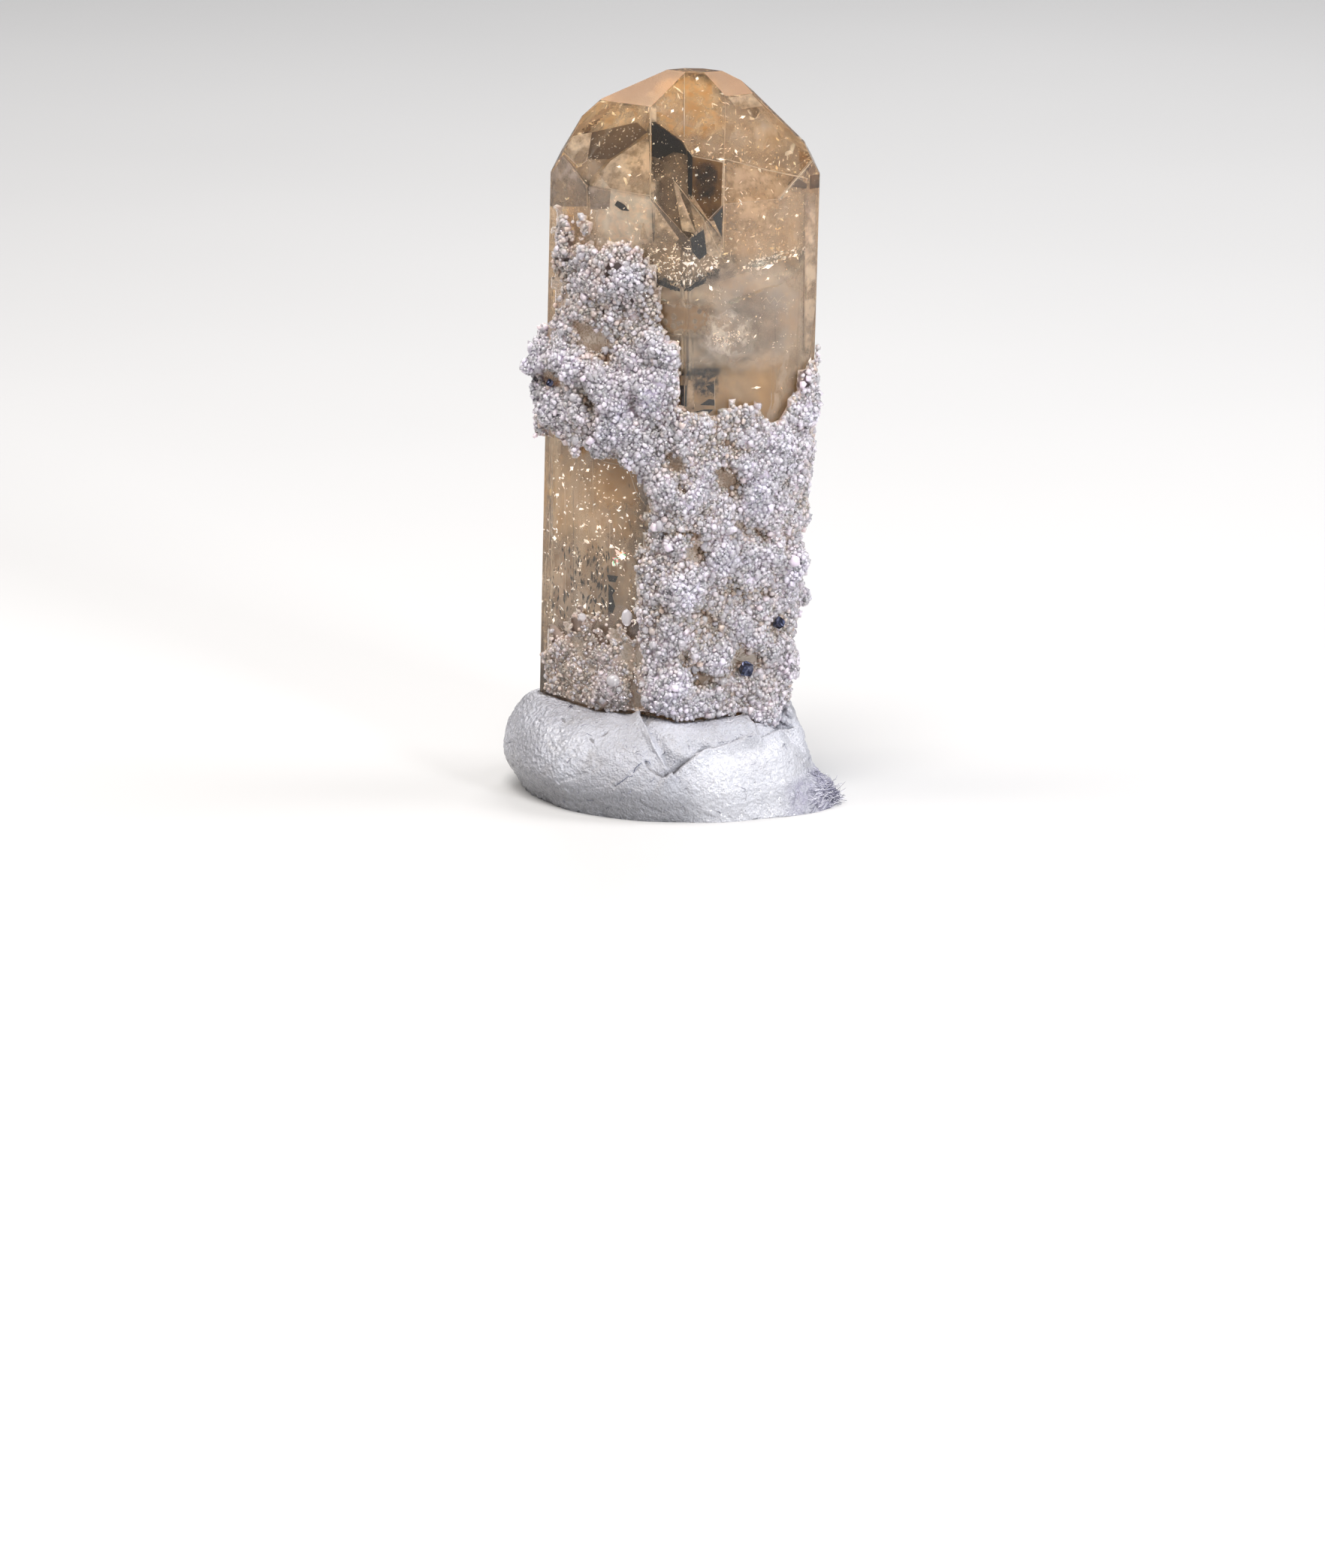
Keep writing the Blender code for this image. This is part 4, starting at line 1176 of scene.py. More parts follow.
def add_crowds():
    dice = np.random.default_rng(17)
    shapes = [thin_plate(dice) for _ in range(6)]
    # These bright, silver, white and rainbow finishes glow: painted light.
    finishes = {"bright": fleck_finish("pale_golden_flecks", (1.0, 0.84, 0.58), (1.0, 0.98, 0.94),
                                       0.35),
                "silver": fleck_finish("silvery_flecks", (0.86, 0.74, 0.62), (1.0, 0.97, 0.95), 0.6),
                "white": fleck_finish("white_flecks", (1.0, 0.93, 0.88), (1.0, 1.0, 1.0), 0.9, 0.0),
                "dark": fleck_finish("black_flecks", (0.012, 0.009, 0.008), (0.05, 0.035, 0.02),
                                     0.0, 0.2),
                "brown": fleck_finish("brown_flecks", (0.24, 0.15, 0.07), (0.50, 0.36, 0.20), 0.0, 0.0),
                "rainbow": rainbow_finish()}
    for name, finish, count, length, proportions, depths, corners in CROWDS:
        spots = crowd_spots(count, depths, corners, dice)
        lengths = dice.gamma(4.0, length / 4.0, size=(len(spots), 1)) + 0.25 * length
        directions = dice.normal(size=spots.shape)
        if proportions is STANDING:
            directions = directions * 0.22 + np.array([0.0, 0.0, 1.0])
        sizes = lengths * np.array([proportions])
        points, triangles, _ = strew(shapes, spots, directions, sizes, dice)
        add_piece(name, mesh_from(name, points, triangles), finishes[finish])


# Soft patches inside the topaz: name, depth in mm, corners, two colours, blotches per mm, how
# dense its light and its dark parts are, and their pattern.
PATCHES = (
    ("golden_cloud", 0.26, ((868, 94), (960, 90), (980, 190), (850, 190)),
     (0.62, 0.37, 0.15), (0.98, 0.72, 0.42), 5.0, 0.30, 0.80, "cloud"),
    ("roof_amber", 0.40, ((776, 130), (880, 126), (880, 262), (770, 262)),
     (0.85, 0.60, 0.34), (1.0, 0.86, 0.64), 5.0, 0.25, 0.6, "cloud"),
    ("tip_milk", 0.18, ((782, 214), (884, 214), (880, 350), (786, 350)),
     (0.94, 0.80, 0.68), (1.0, 0.97, 0.92), 6.0, 0.50, 0.85, "cloud"),
    # Painted shade: a near-black blob in the brown window.
    ("brown_blob", 0.12, ((923, 210), (958, 212), (954, 268), (924, 266)),
     (0.020, 0.010, 0.003), (0.09, 0.045, 0.015), 5.0, 0.55, 1.0, "cloud"),
    ("fracture_ground", 0.42, ((850, 314), (978, 308), (978, 382), (852, 386)),
     (0.44, 0.33, 0.22), (0.80, 0.66, 0.51), 9.0, 0.40, 0.85, "cloud"),
    ("pale_base", 0.34, ((840, 366), (1000, 360), (996, 500), (840, 500)),
     (0.80, 0.64, 0.48), (1.0, 0.88, 0.74), 3.0, 0.45, 0.65, "cloud"),
    ("honeycomb", 0.12, ((840, 396), (958, 398), (954, 452), (840, 450)),
     (0.42, 0.28, 0.16), (1.0, 0.86, 0.70), 8.5, 0.10, 0.80, "comb"),
    # Painted shade: a near-black blob in the lower dark window.
    ("window_blob", 0.11, ((922, 490), (958, 490), (958, 532), (922, 528)),
     (0.010, 0.006, 0.004), (0.30, 0.20, 0.12), 11.0, 0.15, 1.0, "cloud"),
    ("pale_veil", 0.20, ((926, 340), (1100, 334), (1094, 510), (910, 500)),
     (0.84, 0.67, 0.54), (1.0, 0.91, 0.84), 2.6, 0.30, 0.45, "cloud"),
    ("grey_veil", 0.16, ((974, 384), (1046, 384), (1046, 474), (970, 470)),
     (0.50, 0.41, 0.36), (0.72, 0.63, 0.58), 3.0, 0.15, 0.40, "cloud"),
    ("white_veil", 0.12, ((926, 410), (1010, 410), (1010, 480), (926, 480)),
     (0.95, 0.84, 0.79), (1.0, 0.97, 0.95), 7.0, 0.60, 0.15, "cloud"),
    ("amber_zone", 0.40, ((860, 440), (1110, 446), (1110, 600), (860, 590)),
     (0.74, 0.52, 0.29), (0.96, 0.76, 0.53), 2.4, 0.40, 0.7, "cloud"),
    ("left_amber", 0.40, ((700, 570), (866, 584), (872, 752), (700, 752)),
     (0.74, 0.52, 0.29), (1.0, 0.80, 0.56), 4.0, 0.35, 0.7, "upright"),
    ("left_gold", 0.22, ((784, 590), (862, 602), (860, 686), (780, 680)),
     (0.58, 0.36, 0.15), (0.90, 0.63, 0.34), 3.0, 0.45, 0.8, "cloud"),
    ("left_mottle", 0.28, ((706, 700), (872, 700), (872, 850), (706, 850)),
     (0.46, 0.33, 0.22), (0.98, 0.85, 0.72), 8.0, 0.30, 0.7, "upright"),
)


def add_patches():
    for name, depth, corners, *look in PATCHES:
        add_patch(name, depth, corners, patch_finish(name, *look))


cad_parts["topaz_crystal"].material_slots[0].material = topaz_finish()
add_clouds()
add_flecks()
add_windows()
add_lines()
add_edge_lines()
add_sparkles()
add_fracture()
add_crowds()
add_patches()

# The quartz crust

# In mm: faces farther than this off the topaz are the crust's outside, the least that the crust
# stands off it, and how far its tallest lumps do. Then how much painted shade each mm of hollow adds.
SKIN_GAP = 0.034
LOWEST_SKIN = 0.03
TALLEST_STAND = 0.42
HOLLOW_SHADE = 3.0

# Hollows and cracks in the crust, pressed in and darkened with painted shade: a line through
# pixels of the picture, its half width in pixels and its depth in mm.
HOLLOWS = (
    (((963, 634), (978, 650)), 12.0, 0.15),
    (((896, 611), (902, 621)), 9.0, 0.13),
    (((880, 712), (900, 709), (928, 714)), 3.5, 0.16),
    (((926, 733), (938, 741)), 8.0, 0.10),
    (((976, 780), (988, 788)), 9.0, 0.10),
    (((936, 815), (944, 824)), 8.0, 0.08),
    (((916, 880), (934, 905)), 10.0, 0.13),
    (((842, 866), (838, 900), (846, 938)), 8.0, 0.12),
    (((770, 432), (778, 442)), 9.0, 0.10),
    (((792, 462), (806, 474)), 9.0, 0.12),
    (((775, 522), (784, 536)), 8.0, 0.10),
    (((731, 498), (738, 510)), 8.0, 0.07),
    (((905, 648), (912, 656)), 6.0, 0.08),
    (((1010, 705), (1018, 716)), 8.0, 0.08),
)


def on_the_outside(face):
    """Whether a face of the crust looks away from the topaz, and isn't its back or its rim."""
    return all(outside_topaz(vert.co) > SKIN_GAP for vert in face.verts)


def along_line(points, spot):
    """How far in pixels a spot of the picture is from a line through pixels, and on which side."""
    best, side = 1e9, 1.0
    for start, end in zip(points, points[1:]):
        first, last = Vector(start), Vector(end)
        along = last - first
        share = max(0.0, min(1.0, (spot - first).dot(along) / along.length_squared))
        away = spot - first - along * share
        if away.length < best:
            best = away.length
            side = 1.0 if along.x * away.y - along.y * away.x > 0.0 else -1.0
    return best, side


def hollow_share(spot):
    """How far, in mm, a hollow of the crust's front reaches in at a spot."""
    if spot.y > 0.0:
        return 0.0
    pixel = pixel_of(spot)
    depth = 0.0
    for line, width, deep in HOLLOWS:
        if abs(pixel.x - line[0][0]) < 60.0 and abs(pixel.y - line[0][1]) < 90.0:
            away = along_line(line, pixel)[0] + 2.5 * noise.noise(spot * 9.0)
            depth = max(depth, deep * math.exp(-(away / width) ** 2))
    return depth


def bareness(spot):
    """How bare the crust leaves the topaz, from 0 to 1: in patches, at its two thin ends."""
    patches = (0.5 + 0.42 * noise.noise(spot * 3.1) + 0.22 * noise.noise(spot * 8.0)
               + 0.10 * noise.noise(spot * 20.0))
    limit = 2.0
    if spot.z > 7.4 and spot.x < 0.3:
        limit = 0.86 - 0.36 * smooth_step(spot.z, 7.6, 9.6)
    elif spot.z < 3.6 and spot.x < 0.0:
        limit = (0.46 + 0.36 * smooth_step(3.2 - spot.z, 0.1, 1.1)
                 + 0.8 * smooth_step(spot.x, -0.5, 0.0))
    elif spot.z > 6.7 and spot.x > 1.9 and spot.y < 0.3:
        limit = 0.62 - 0.12 * smooth_step(spot.z, 6.8, 7.6)
    return smooth_step(patches, limit - 0.05, limit + 0.05)


def swell(spot):
    """How far the crust stands out here, in mm: large rounded lumps, with small ones on them."""
    large = 0.45 - noise.voronoi(spot * 2.3)[0][0]
    middle = 0.42 - noise.voronoi(spot * 5.0)[0][0]
    small = 0.40 - noise.voronoi(spot * 11.0)[0][0]
    lumps = 0.15 * large + 0.065 * middle + 0.026 * small + 0.06 * noise.noise(spot * 1.3)
    return lumps - 1.25 * hollow_share(spot)


def crust_body():
    """The crust's own mass: the CAD crust with finer lumps, as a bmesh in mm."""
    bm = node_mesh("quartz_crust")
    outer = [face for face in bm.faces if on_the_outside(face)]
    edges = list({edge for face in outer for edge in face.edges})
    bmesh.ops.subdivide_edges(bm, edges=edges, cuts=3, use_grid_fill=True)
    bmesh.ops.triangulate(bm, faces=bm.faces)
    skin = [vert for vert in bm.verts if outside_topaz(vert.co) > SKIN_GAP]
    for _ in range(2):
        bmesh.ops.smooth_vert(bm, verts=skin, factor=0.5, use_axis_x=True, use_axis_y=True,
                              use_axis_z=True)
    bm.normal_update()
    moves = []
    for vert in skin:
        above = outside_topaz(vert.co)
        rise = max(LOWEST_SKIN - above, swell(vert.co))
        moves.append((vert, vert.normal * rise))
    for vert, move in moves:
        vert.co += move
    bm.normal_update()
    return bm


def stand_of(spots):
    """How far each spot stands off the topaz, as a share of the tallest lumps."""
    return np.array([outside_topaz(spot) for spot in spots]) / TALLEST_STAND


def everywhere(spots):
    return np.ones(len(spots), bool)


def add_crust_grains(body, name, shapes, per_mm2, size, stone, dice, part=everywhere):
    """Small quartz grains on a part of the crust, fewer where it is bare."""
    spots, directions = spots_on(body, on_the_outside, per_mm2, dice)
    bare = np.array([bareness(Vector(spot)) for spot in spots])
    wanted = part(spots) & (dice.random(len(spots)) > bare * BAREST)
    spots, directions = spots[wanted], directions[wanted]
    length = dice.gamma(9.0, size / 9.0, size=(len(spots), 1)) + 0.3 * size
    foot = (spots[:, [2]] < 3.5) & (spots[:, [0]] < -0.3)
    length = np.where(foot, length * 0.72, length)
    sizes = length * dice.uniform(0.7, 1.25, size=(len(spots), 3))
    tilted = directions + dice.normal(scale=0.5, size=directions.shape)
    spots = spots + directions * length * dice.uniform(-0.3, 0.6, size=length.shape)
    points, triangles, owners = strew(shapes, spots, tilted, sizes, dice)
    hollow = np.array([hollow_share(Vector(spot)) for spot in spots])
    kept = {"stand": (stand_of(spots) - hollow * HOLLOW_SHADE)[owners]}
    mesh = mesh_from(name, points, triangles, kept)
    piece = add_piece(name, mesh, stone)
    return mesh


GLINTS_PER_MM2 = 32.0
GLINT_RISE = 0.030


def add_glints(body, finish, dice):
    """Painted glints: tiny glowing flakes on the crust, turned every way, that flash in the light."""
    spots, directions = spots_on(body, on_the_outside, GLINTS_PER_MM2, dice)
    bare = np.array([bareness(Vector(spot)) for spot in spots])
    spots, directions = spots[bare < 0.5], directions[bare < 0.5]
    shapes = [thin_plate(dice) for _ in range(5)]
    length = dice.gamma(4.0, 0.0026, size=(len(spots), 1)) + 0.004
    tilted = directions + dice.normal(scale=0.7, size=directions.shape)
    spots = spots + directions * GLINT_RISE
    points, triangles, _ = strew(shapes, spots, tilted, length * np.array([[1.0, 0.8, 0.25]]), dice)
    piece = add_piece("quartz_glints", mesh_from("quartz_glints", points, triangles), finish)


# Larger rounded grains on the crust and at its edge: a pixel, and half width and height in mm.
OVAL_GRAINS = (
    ((836, 822), 0.095, 0.150), ((817, 906), 0.120, 0.110), ((768, 587), 0.075, 0.085),
    ((938, 727), 0.060, 0.080), ((878, 700), 0.070, 0.095), ((862, 838), 0.080, 0.070),
    ((872, 858), 0.085, 0.075), ((986, 588), 0.065, 0.060), ((1020, 668), 0.070, 0.075),
    ((900, 780), 0.060, 0.060), ((950, 765), 0.060, 0.070), ((775, 822), 0.075, 0.070),
    ((955, 862), 0.065, 0.060), ((1032, 745), 0.060, 0.065), ((800, 400), 0.055, 0.060),
    ((868, 440), 0.070, 0.060), ((886, 452), 0.060, 0.075), ((893, 470), 0.055, 0.055),
)


def add_oval_grains(tree, finish):
    """The crust's larger grains, each sunk a little into what carries it."""
    dice = np.random.default_rng(29)
    shapes = []
    for pixel, wide, high in OVAL_GRAINS:
        spot = surface_spot(tree, pixel, 0.3 * wide) or surface_spot(topaz_tree, pixel, 0.3 * wide)
        corners, faces = sugar_lump(dice, 2, 0.94, 1.05)
        shapes.append((corners * np.array([wide, wide * 0.7, high]) + np.array(spot), faces))
    points, triangles = joined(shapes)
    piece = add_piece("oval_grains", mesh_from("oval_grains", points, triangles), finish)


# How many grains of each kind a square mm of the crust gets, and their length in mm.
LUMPS = (350.0, 0.028)
CRYSTALS = (180.0, 0.027)
CLEAR_GRAINS = (70.0, 0.036)

# The parts of the crust whose grains are joined into one mesh each: the front in three heights,
# and the sides.
ZONES = {
    "upper": lambda spots: (spots[:, 1] < -0.5) & (spots[:, 2] > 5.2),
    "middle": lambda spots: (spots[:, 1] < -0.5) & (abs(spots[:, 2] - 3.9) <= 1.3),
    "lower": lambda spots: (spots[:, 1] < -0.5) & (spots[:, 2] < 2.6),
    "sides": lambda spots: spots[:, 1] >= -0.5,
}


def add_crust():
    dice = np.random.default_rng(11)
    body = crust_body()
    grains = quartz_finish("lavender_quartz_grains", False)
    lumps = [sugar_lump(dice, 1, 0.86, 1.12) for _ in range(6)]
    crystals = [quartz_point(dice) for _ in range(3)] + [sugar_cube(dice) for _ in range(3)]
    for zone, part in ZONES.items():
        mesh = add_crust_grains(body, f"quartz_grains_{zone}", lumps, *LUMPS, grains, dice, part)
        mesh.shade_smooth()
        add_crust_grains(body, f"quartz_crystals_{zone}", crystals, *CRYSTALS, grains, dice, part)
    clear = clear_quartz_finish("clear_quartz_grains")
    add_crust_grains(body, "quartz_grains_clear", crystals, *CLEAR_GRAINS, clear, dice)
    add_glints(body, glint_finish(), dice)
    add_oval_grains(BVHTree.FromBMesh(body), clear_quartz_finish("clear_oval_grains"))
    mesh = to_mesh("quartz_crust_body", body, smooth=False)
    spots = [vert.co / MM for vert in mesh.vertices]
    hollow = np.array([hollow_share(spot) for spot in spots])
    keep_numbers(mesh, "stand", stand_of(spots) - hollow * HOLLOW_SHADE)
    keep_numbers(mesh, "bare", [bareness(spot) for spot in spots])
    piece = add_piece("quartz_crust_body", mesh, quartz_finish("lavender_quartz_mass", True))
    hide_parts("quartz_crust")


add_crust()

# The black grains

black_metal = black_grain_finish()
for number in (1, 2, 3):
    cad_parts[f"black_grain_{number}"].material_slots[0].material = black_metal

# The putty

# Folds pressed into the putty's front: a line through pixels of the picture, the depth and half
# width of the fold, how far the putty stands out on its first and on its second side, all in mm,
# and how dark the painted shade in its crease is. The first side is below a line that goes to the
# right, and left of one that goes down.
FOLDS = (
    (((854, 957), (864, 974), (874, 991), (881, 1003), (887, 1020), (893, 1028)), 0.030, 0.020,
     0.120, -0.070, 0.0),
    (((886, 1034), (897, 1026), (910, 1016), (924, 1006), (936, 1000)), 0.070, 0.046,
     0.070, 0.020, 0.30),
    (((936, 1000), (950, 996), (965, 991), (989, 984)), 0.045, 0.036, 0.095, 0.0, 0.12),
    (((989, 984), (1011, 980), (1030, 973), (1054, 969)), 0.030, 0.022, 0.060, 0.0, 0.12),
    (((999, 955), (1006, 964), (1011, 978)), 0.070, 0.030, 0.045, -0.060, 0.5),
    (((819, 1047), (828, 1040), (838, 1031), (850, 1022)), 0.014, 0.034, 0.012, 0.0, 0.04),
    (((860, 1014), (862, 1020), (867, 1026), (874, 1031), (882, 1036)), 0.040, 0.024, 0.030, 0.0, 0.30),
    (((785, 983), (790, 988)), 0.030, 0.016, 0.0, 0.0, 0.6),
    (((801, 980), (808, 975)), 0.035, 0.014, 0.0, 0.0, 0.7),
    (((748, 956), (751, 961)), 0.030, 0.014, 0.0, 0.0, 0.4),
    (((742, 1040), (790, 1026), (806, 1012)), 0.014, 0.034, 0.008, 0.0, 0.0),
    (((760, 1056), (800, 1046), (830, 1030)), 0.010, 0.038, 0.008, 0.0, 0.0),
    (((735, 1062), (775, 1066), (815, 1062)), 0.010, 0.040, 0.006, 0.0, 0.0),
    (((850, 1066), (862, 1076), (880, 1080)), 0.018, 0.030, 0.008, 0.0, 0.12),
    (((938, 1084), (950, 1088)), 0.020, 0.020, 0.0, 0.0, 0.3),
    (((1048, 1040), (1062, 1056), (1058, 1070)), 0.022, 0.034, 0.012, 0.0, 0.10),
    (((1068, 1010), (1076, 1028), (1096, 1040)), 0.020, 0.034, 0.0, 0.012, 0.10),
)
SIDE_REACH = 0.15
SIDE_EDGE = 0.02


def fold_press(spot):
    """How far the folds press the putty in at a spot on its front, in mm, and how dark the painted
    shade in the crease is there.
    """
    if spot.y > 0.2:
        return 0.0, 0.0
    pixel = pixel_of(spot)
    press, darkest = 0.0, 0.0
    margin = 2.6 * SIDE_REACH / PIXEL
    for line, depth, width, first, second, shade in FOLDS:
        if not (min(x for x, _ in line) - margin < pixel.x < max(x for x, _ in line) + margin
                and min(y for _, y in line) - margin < pixel.y < max(y for _, y in line) + margin):
            continue
        away, side = along_line(line, pixel)
        away *= PIXEL
        inside = math.exp(-(away / width) ** 2)
        shoulder = math.exp(-(away / SIDE_REACH) ** 2) * (1.0 - math.exp(-(away / SIDE_EDGE) ** 2))
        press += depth * inside - (first if side > 0.0 else second) * shoulder
        darkest = max(darkest, inside * shade)
    return press, darkest


def near_a_fold(spot):
    """Whether a spot of the putty is so near a fold that it needs a finer mesh."""
    return fold_press(spot)[1] > 0.01


def is_pocket(face):
    """Whether a face of the putty is inside its pocket, against the topaz."""
    return all(outside_topaz(vert.co) < 0.05 for vert in face.verts)


def split_edges(bm, faces, cuts):
    """Divide the edges of some faces, and keep the mesh in triangles."""
    edges = list({edge for face in faces for edge in face.edges})
    bmesh.ops.subdivide_edges(bm, edges=edges, cuts=cuts, use_grid_fill=True)
    bmesh.ops.triangulate(bm, faces=bm.faces)


# In mm: how near the floor and how near the topaz the putty keeps its CAD form, how low its front
# may sink, the lowest height at which its lip is laid against the topaz, and how far that goes in.
FLOOR_GAP = 0.002
LIP_GAP = 0.06
LOWEST_SKIRT = 0.001
LIP_HEIGHT = 1.0
LIP_BITE = 0.004
# How steeply its foot faces down, and how many times its skin is smoothed.
FOOT_FACING = -0.9
PUTTY_SOFTENING = 8


def is_seen(face):
    """Whether a face of the putty is on neither its foot nor its pocket."""
    return face.normal.z > FOOT_FACING and not is_pocket(face)


def putty_skin(bm):
    """The corners of the putty that may move."""
    return [vert for vert in bm.verts
            if vert.co.z > FLOOR_GAP and outside_topaz(vert.co) > LIP_GAP]


def roughness_at(spot):
    """How far the putty's dents, pimples, beads and ragged end stand out at a spot, in mm."""
    dents = 0.026 * noise.noise(spot * 2.6) + 0.014 * noise.noise(spot * 7.0)
    pimples = 0.013 * noise.noise(spot * 15.0) + 0.009 * noise.noise(spot * 31.0)
    beads = 0.010 * (0.4 - noise.voronoi(spot * 13.0)[0][0]) * smooth_step(-spot.x, 0.7, 1.9)
    ragged = max(0.0, spot.x - 2.2) * 0.13 * noise.noise(spot * 9.0)
    return dents + pimples + beads + ragged


def back_crease(spot):
    """How far the soft creases of the putty's back reach in at a spot, in mm."""
    line = noise.noise(spot * 1.1 + Vector((3.0, 5.0, 1.0)))
    return 0.06 * math.exp(-(line / 0.07) ** 2) * smooth_step(spot.y, 0.1, 0.7)


def add_putty(material):
    bm = node_mesh("putty_base")
    split_edges(bm, [face for face in bm.faces if is_seen(face)], 4)
    skin = putty_skin(bm)
    for _ in range(PUTTY_SOFTENING):
        bmesh.ops.smooth_vert(bm, verts=skin, factor=0.5, use_axis_x=True, use_axis_y=True,
                              use_axis_z=True)
    bm.normal_update()
    split_edges(bm, [face for face in bm.faces if face.normal.y < 0.3 and is_seen(face)], 1)
    split_edges(bm, [face for face in bm.faces if near_a_fold(face.calc_center_median())], 1)
    # The painted shade of the folds' creases, kept for the finish.
    crease_shade = bm.verts.layers.float.new("fold")
    skin = putty_skin(bm)
    bm.normal_update()
    moves = []
    for vert in skin:
        spot = vert.co
        press, dark = fold_press(spot)
        press += back_crease(spot)
        vert[crease_shade] = dark
        moves.append((vert, vert.normal * (roughness_at(spot) - press)))
    for vert, move in moves:
        vert.co += move
        vert.co.z = max(vert.co.z, LOWEST_SKIRT)
    for vert in bm.verts:
        near = outside_topaz(vert.co)
        if near < LIP_GAP and vert.co.z > LIP_HEIGHT:
            normal = topaz_tree.find_nearest(vert.co)[1]
            vert.co -= normal * (near + LIP_BITE)
    piece = add_piece("putty", to_mesh("putty", bm), material)
    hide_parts("putty_base")


TAIL_TIP = Vector((3.03, -1.22, 0.15))
FARTHEST_RIGHT = 3.045
TAIL_FIBRES = 480
OTHER_FIBRES = 80
# Where the picture shows the lint: at the putty's right end, and elsewhere on its front.
TAIL_REGION = ((1066, 1020), (1131, 1086))
FRONT_REGION = ((700, 945), (1090, 1080))


def curl(start, heading, length, bend, dice):
    """A curved thread that wanders as it goes, above the floor and inside the part's length."""
    points = [Vector(start)]
    heading = Vector(heading).normalized()
    count = 7
    for _ in range(count):
        heading = (heading + Vector(dice.normal(scale=bend, size=3))).normalized()
        ahead = points[-1] + heading * length / count
        ahead.z = max(ahead.z, 0.012)
        ahead.x = min(ahead.x, FARTHEST_RIGHT)
        points.append(ahead)
    return points


# Threads that lie on the putty: a name, a colour, a radius in mm, and a line through pixels.
THREADS = (
    ("long_thread", (0.05, 0.06, 0.13), 0.0055,
     ((818, 1047), (828, 1040), (836, 1034), (842, 1033), (844, 1028), (846, 1022), (853, 1016),
      (860, 1013), (864, 1014), (866, 1018))),
    ("rim_thread", (0.80, 0.77, 0.80), 0.0045,
     ((962, 954), (968, 955), (971, 959), (966, 962), (975, 960), (980, 954), (990, 951), (1001, 952))),
    ("right_thread", (0.50, 0.50, 0.58), 0.0040,
     ((1024, 1020), (1026, 1034), (1020, 1048), (1015, 1062), (1014, 1068))),
    ("pale_thread", (0.60, 0.56, 0.62), 0.0040, ((935, 1048), (944, 1046), (951, 1040), (949, 1034))),
    ("short_thread", (0.04, 0.04, 0.07), 0.0060, ((881, 1005), (884, 1003), (886, 1000))),
    ("upper_thread", (0.03, 0.03, 0.06), 0.0100, ((757, 942), (760, 939), (762, 941), (759, 943))),
    ("edge_thread", (0.04, 0.04, 0.07), 0.0050, ((673, 988), (676, 989), (680, 988))),
    ("low_thread", (0.04, 0.04, 0.07), 0.0070, ((955, 1080), (958, 1081), (959, 1083))),
    ("foot_thread", (0.04, 0.04, 0.07), 0.0070, ((1003, 1089), (1009, 1089))),
)


def thread_finish(name, colour):
    finish = Finish(name, Sheen_Weight=0.3)
    shade = finish.noise(20.0, 3.0)
    finish.paint(
        Base_Color=finish.mix(shade, [value * 0.6 for value in colour], colour),
        Roughness=0.4 + shade * 0.3)
    return finish.material


def add_threads(putty_tree):
    """Single threads stuck to the putty."""
    for name, colour, radius, line in THREADS:
        spots = [surface_spot(putty_tree, pixel, radius * 0.8) for pixel in line]
        between = [(first + last) / 2 for first, last in zip(spots, spots[1:])]
        path = [spots[0]]
        for middle, end in zip(between, spots[1:]):
            path += [middle, end]
        points, triangles = fibre(path, radius)
        add_piece(name, mesh_from(name, points, triangles), thread_finish(name, colour))


# Crumbs of putty pressed up beside the crust: a pixel, and half width and height in mm.
CRUMBS = (
    ((1046, 938), 0.055, 0.090), ((1050, 950), 0.060, 0.080), ((1029, 946), 0.030, 0.075),
    ((1031, 955), 0.045, 0.050), ((1023, 958), 0.040, 0.045), ((1039, 953), 0.045, 0.055),
    ((1043, 959), 0.050, 0.050), ((1035, 963), 0.045, 0.045), ((1026, 966), 0.045, 0.040),
    ((1018, 966), 0.035, 0.030), ((1050, 963), 0.055, 0.055), ((1040, 945), 0.040, 0.050),
)


def add_crumbs(putty_tree, crust_tree, material):
    dice = np.random.default_rng(53)
    shapes = []
    for pixel, wide, high in CRUMBS:
        spots = [surface_spot(tree, pixel, 0.4 * wide + 0.02) for tree in (putty_tree, crust_tree)]
        spot = min((spot for spot in spots if spot is not None), key=lambda spot: spot.y)
        corners, faces = sugar_lump(dice, 2, 0.88, 1.10)
        shapes.append((corners * np.array([wide, wide, high]) + np.array(spot), faces))
    points, triangles = joined(shapes)
    mesh = mesh_from("putty_crumbs", points, triangles, {"fold": np.zeros(len(points))})
    mesh.shade_smooth()
    piece = add_piece("putty_crumbs", mesh, material)


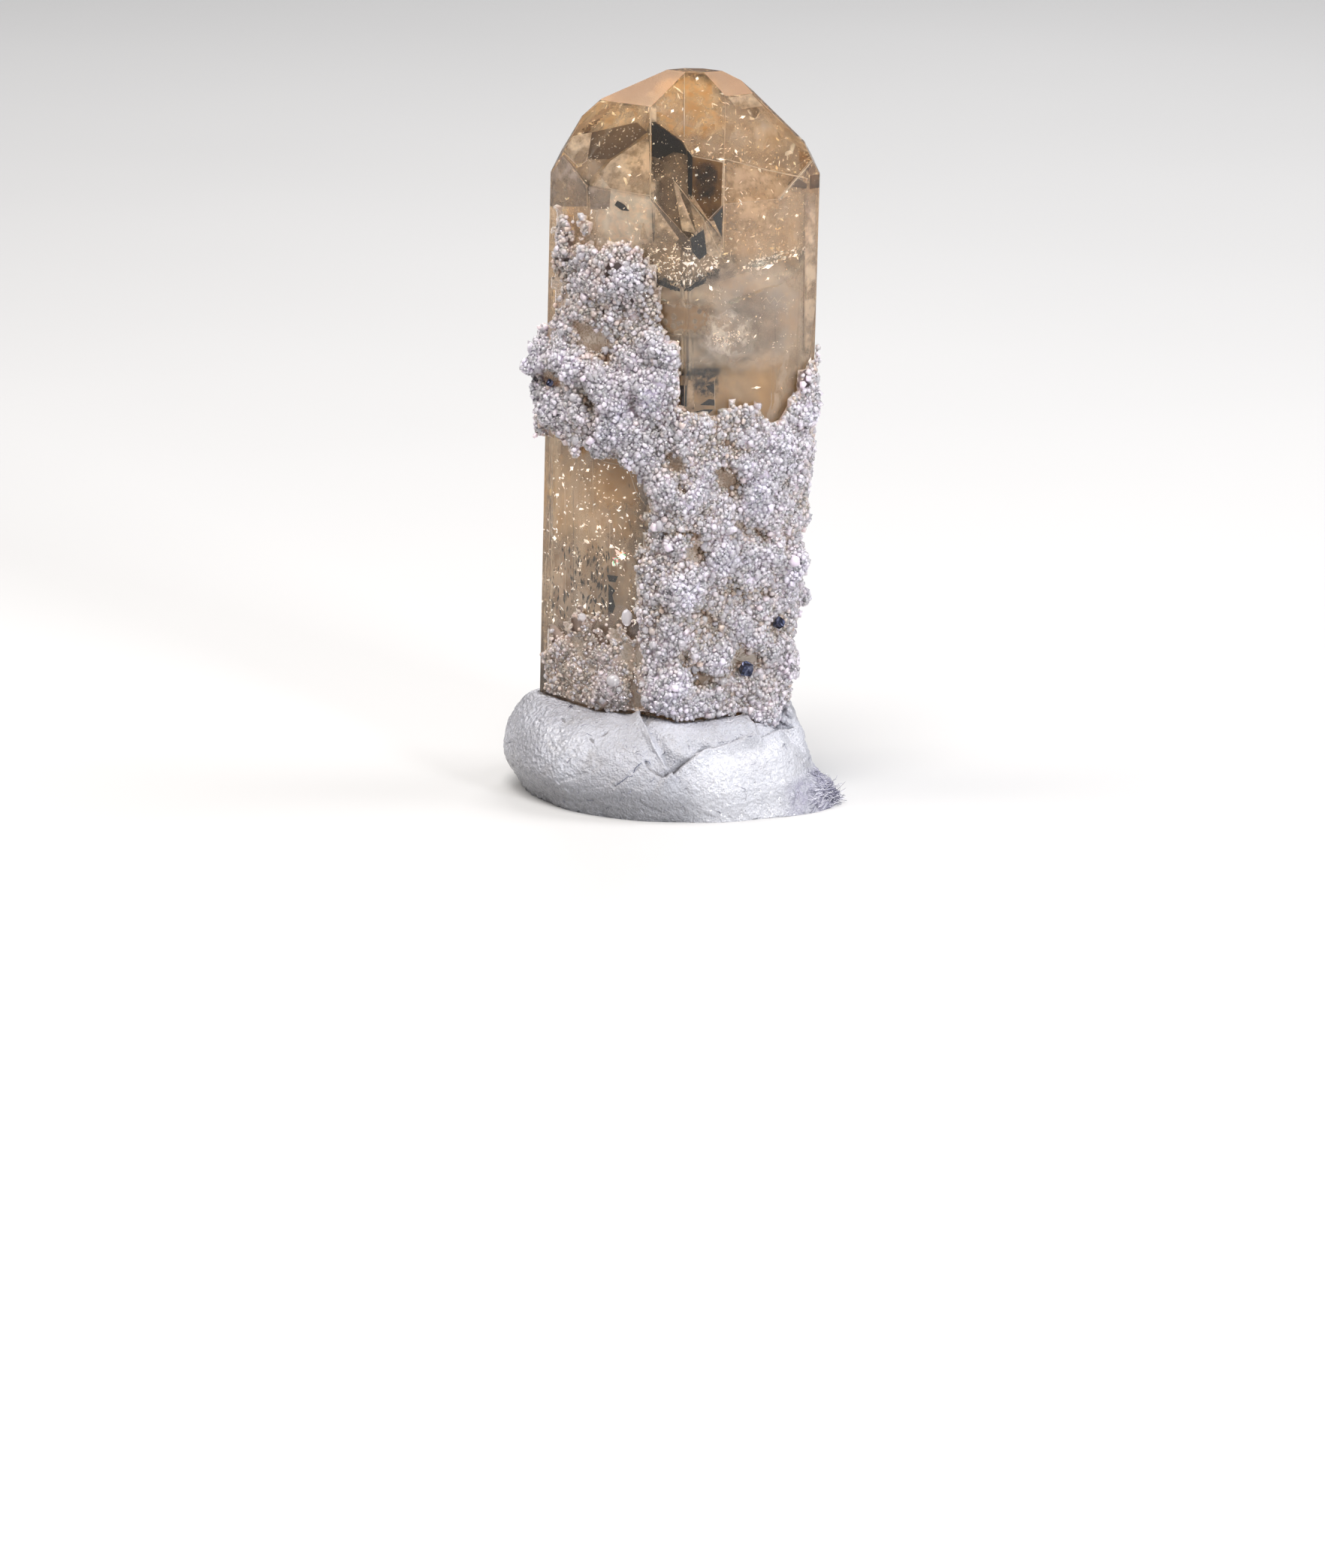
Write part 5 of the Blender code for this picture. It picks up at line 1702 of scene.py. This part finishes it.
def add_lint(putty_tree):
    """The fuzz at the putty's pointed right end, drawn towards its tip, and bits of it elsewhere."""
    dice = np.random.default_rng(3)
    shapes = []
    while len(shapes) < TAIL_FIBRES:
        pixel = Vector(dice.uniform(*TAIL_REGION))
        if dice.random() > smooth_step(pixel.x, 1066.0, 1108.0):
            continue
        start = surface_spot(putty_tree, pixel, -0.004)
        if start is not None and start.y < 0.0:
            heading = (TAIL_TIP - start).normalized() + Vector(dice.normal(scale=0.22, size=3))
            length = dice.uniform(0.08, 0.26)
            shapes.append(fibre(curl(start, heading, length, 0.22, dice), dice.uniform(0.0018, 0.0034)))
    while len(shapes) < TAIL_FIBRES + OTHER_FIBRES:
        pixel = dice.uniform(*FRONT_REGION)
        start = surface_spot(putty_tree, pixel, 0.001)
        if start is not None and start.z > 0.05:
            heading = Vector((1.0, 0.0, dice.normal(scale=0.7)))
            path = curl(start, heading, dice.uniform(0.05, 0.16), 0.35, dice)
            lying = [putty_tree.find_nearest(spot) for spot in path]
            path = [near[0] + near[1] * 0.002 for near in lying]
            shapes.append(fibre(path, 0.0030))
    points, triangles = joined(shapes)
    add_piece("lint", mesh_from("lint", points, triangles), lint_finish())


def millimetre_tree(name):
    """A search tree of a piece's mesh, in mm."""
    bm = bmesh.new()
    bm.from_mesh(bpy.data.objects[name].data)
    bm.transform(Matrix.Scale(1.0 / MM, 4))
    tree = BVHTree.FromBMesh(bm)
    bm.free()
    return tree


putty_material = putty_finish()
add_putty(putty_material)
putty_surface = millimetre_tree("putty")
add_crumbs(putty_surface, millimetre_tree("quartz_crust_body"), putty_material)
add_threads(putty_surface)
add_lint(putty_surface)

# The floor, the lights and the surroundings


def add_floor(material):
    bm = bmesh.new()
    bmesh.ops.create_circle(bm, cap_ends=True, segments=64, radius=900.0)
    floor = bpy.data.objects.new("floor", to_mesh("floor", bm, smooth=False))
    floor.data.materials.append(material)
    bpy.context.scene.collection.objects.link(floor)


def add_soft_light(name, azimuth, elevation, distance, wide, high, watts, colour):
    """A soft light that looks at the crystal's middle. Azimuth 0 is behind the camera."""
    lamp = bpy.data.lights.new(name, "AREA")
    lamp.shape = "RECTANGLE"
    lamp.size = wide * MM
    lamp.size_y = high * MM
    lamp.energy = watts
    lamp.color = colour
    light = bpy.data.objects.new(name, lamp)
    bpy.context.scene.collection.objects.link(light)
    around, rise = math.radians(azimuth), math.radians(elevation)
    out = Vector((math.sin(around) * math.cos(rise), -math.cos(around) * math.cos(rise),
                  math.sin(rise)))
    middle = Vector((0.0, 0.0, 5.5))
    light.location = (middle + out * distance) * MM
    light.rotation_euler = out.to_track_quat("Z", "Y").to_euler()


def add_surroundings():
    world = bpy.data.worlds.new("studio")
    world.use_nodes = True
    background = world.node_tree.nodes["Background"]
    background.inputs["Color"].default_value = (0.93, 0.95, 1.0, 1.0)
    background.inputs["Strength"].default_value = 0.25
    bpy.context.scene.world = world


add_floor(floor_finish())
add_soft_light("key", -20.0, 66.0, 90.0, 42.0, 42.0, 0.078, (1.0, 0.97, 0.94))
add_soft_light("left", -88.0, 50.0, 90.0, 40.0, 40.0, 0.045, (1.0, 0.95, 0.90))
add_soft_light("right", 92.0, 46.0, 90.0, 40.0, 40.0, 0.045, (0.96, 0.97, 1.0))
add_soft_light("low", 36.0, 14.0, 95.0, 18.0, 18.0, 0.060, (0.94, 0.96, 1.0))
add_soft_light("rim", 170.0, 38.0, 100.0, 60.0, 40.0, 0.040, (1.0, 1.0, 1.0))
add_surroundings()
add_camera()
bpy.context.scene.view_settings.view_transform = "Standard"
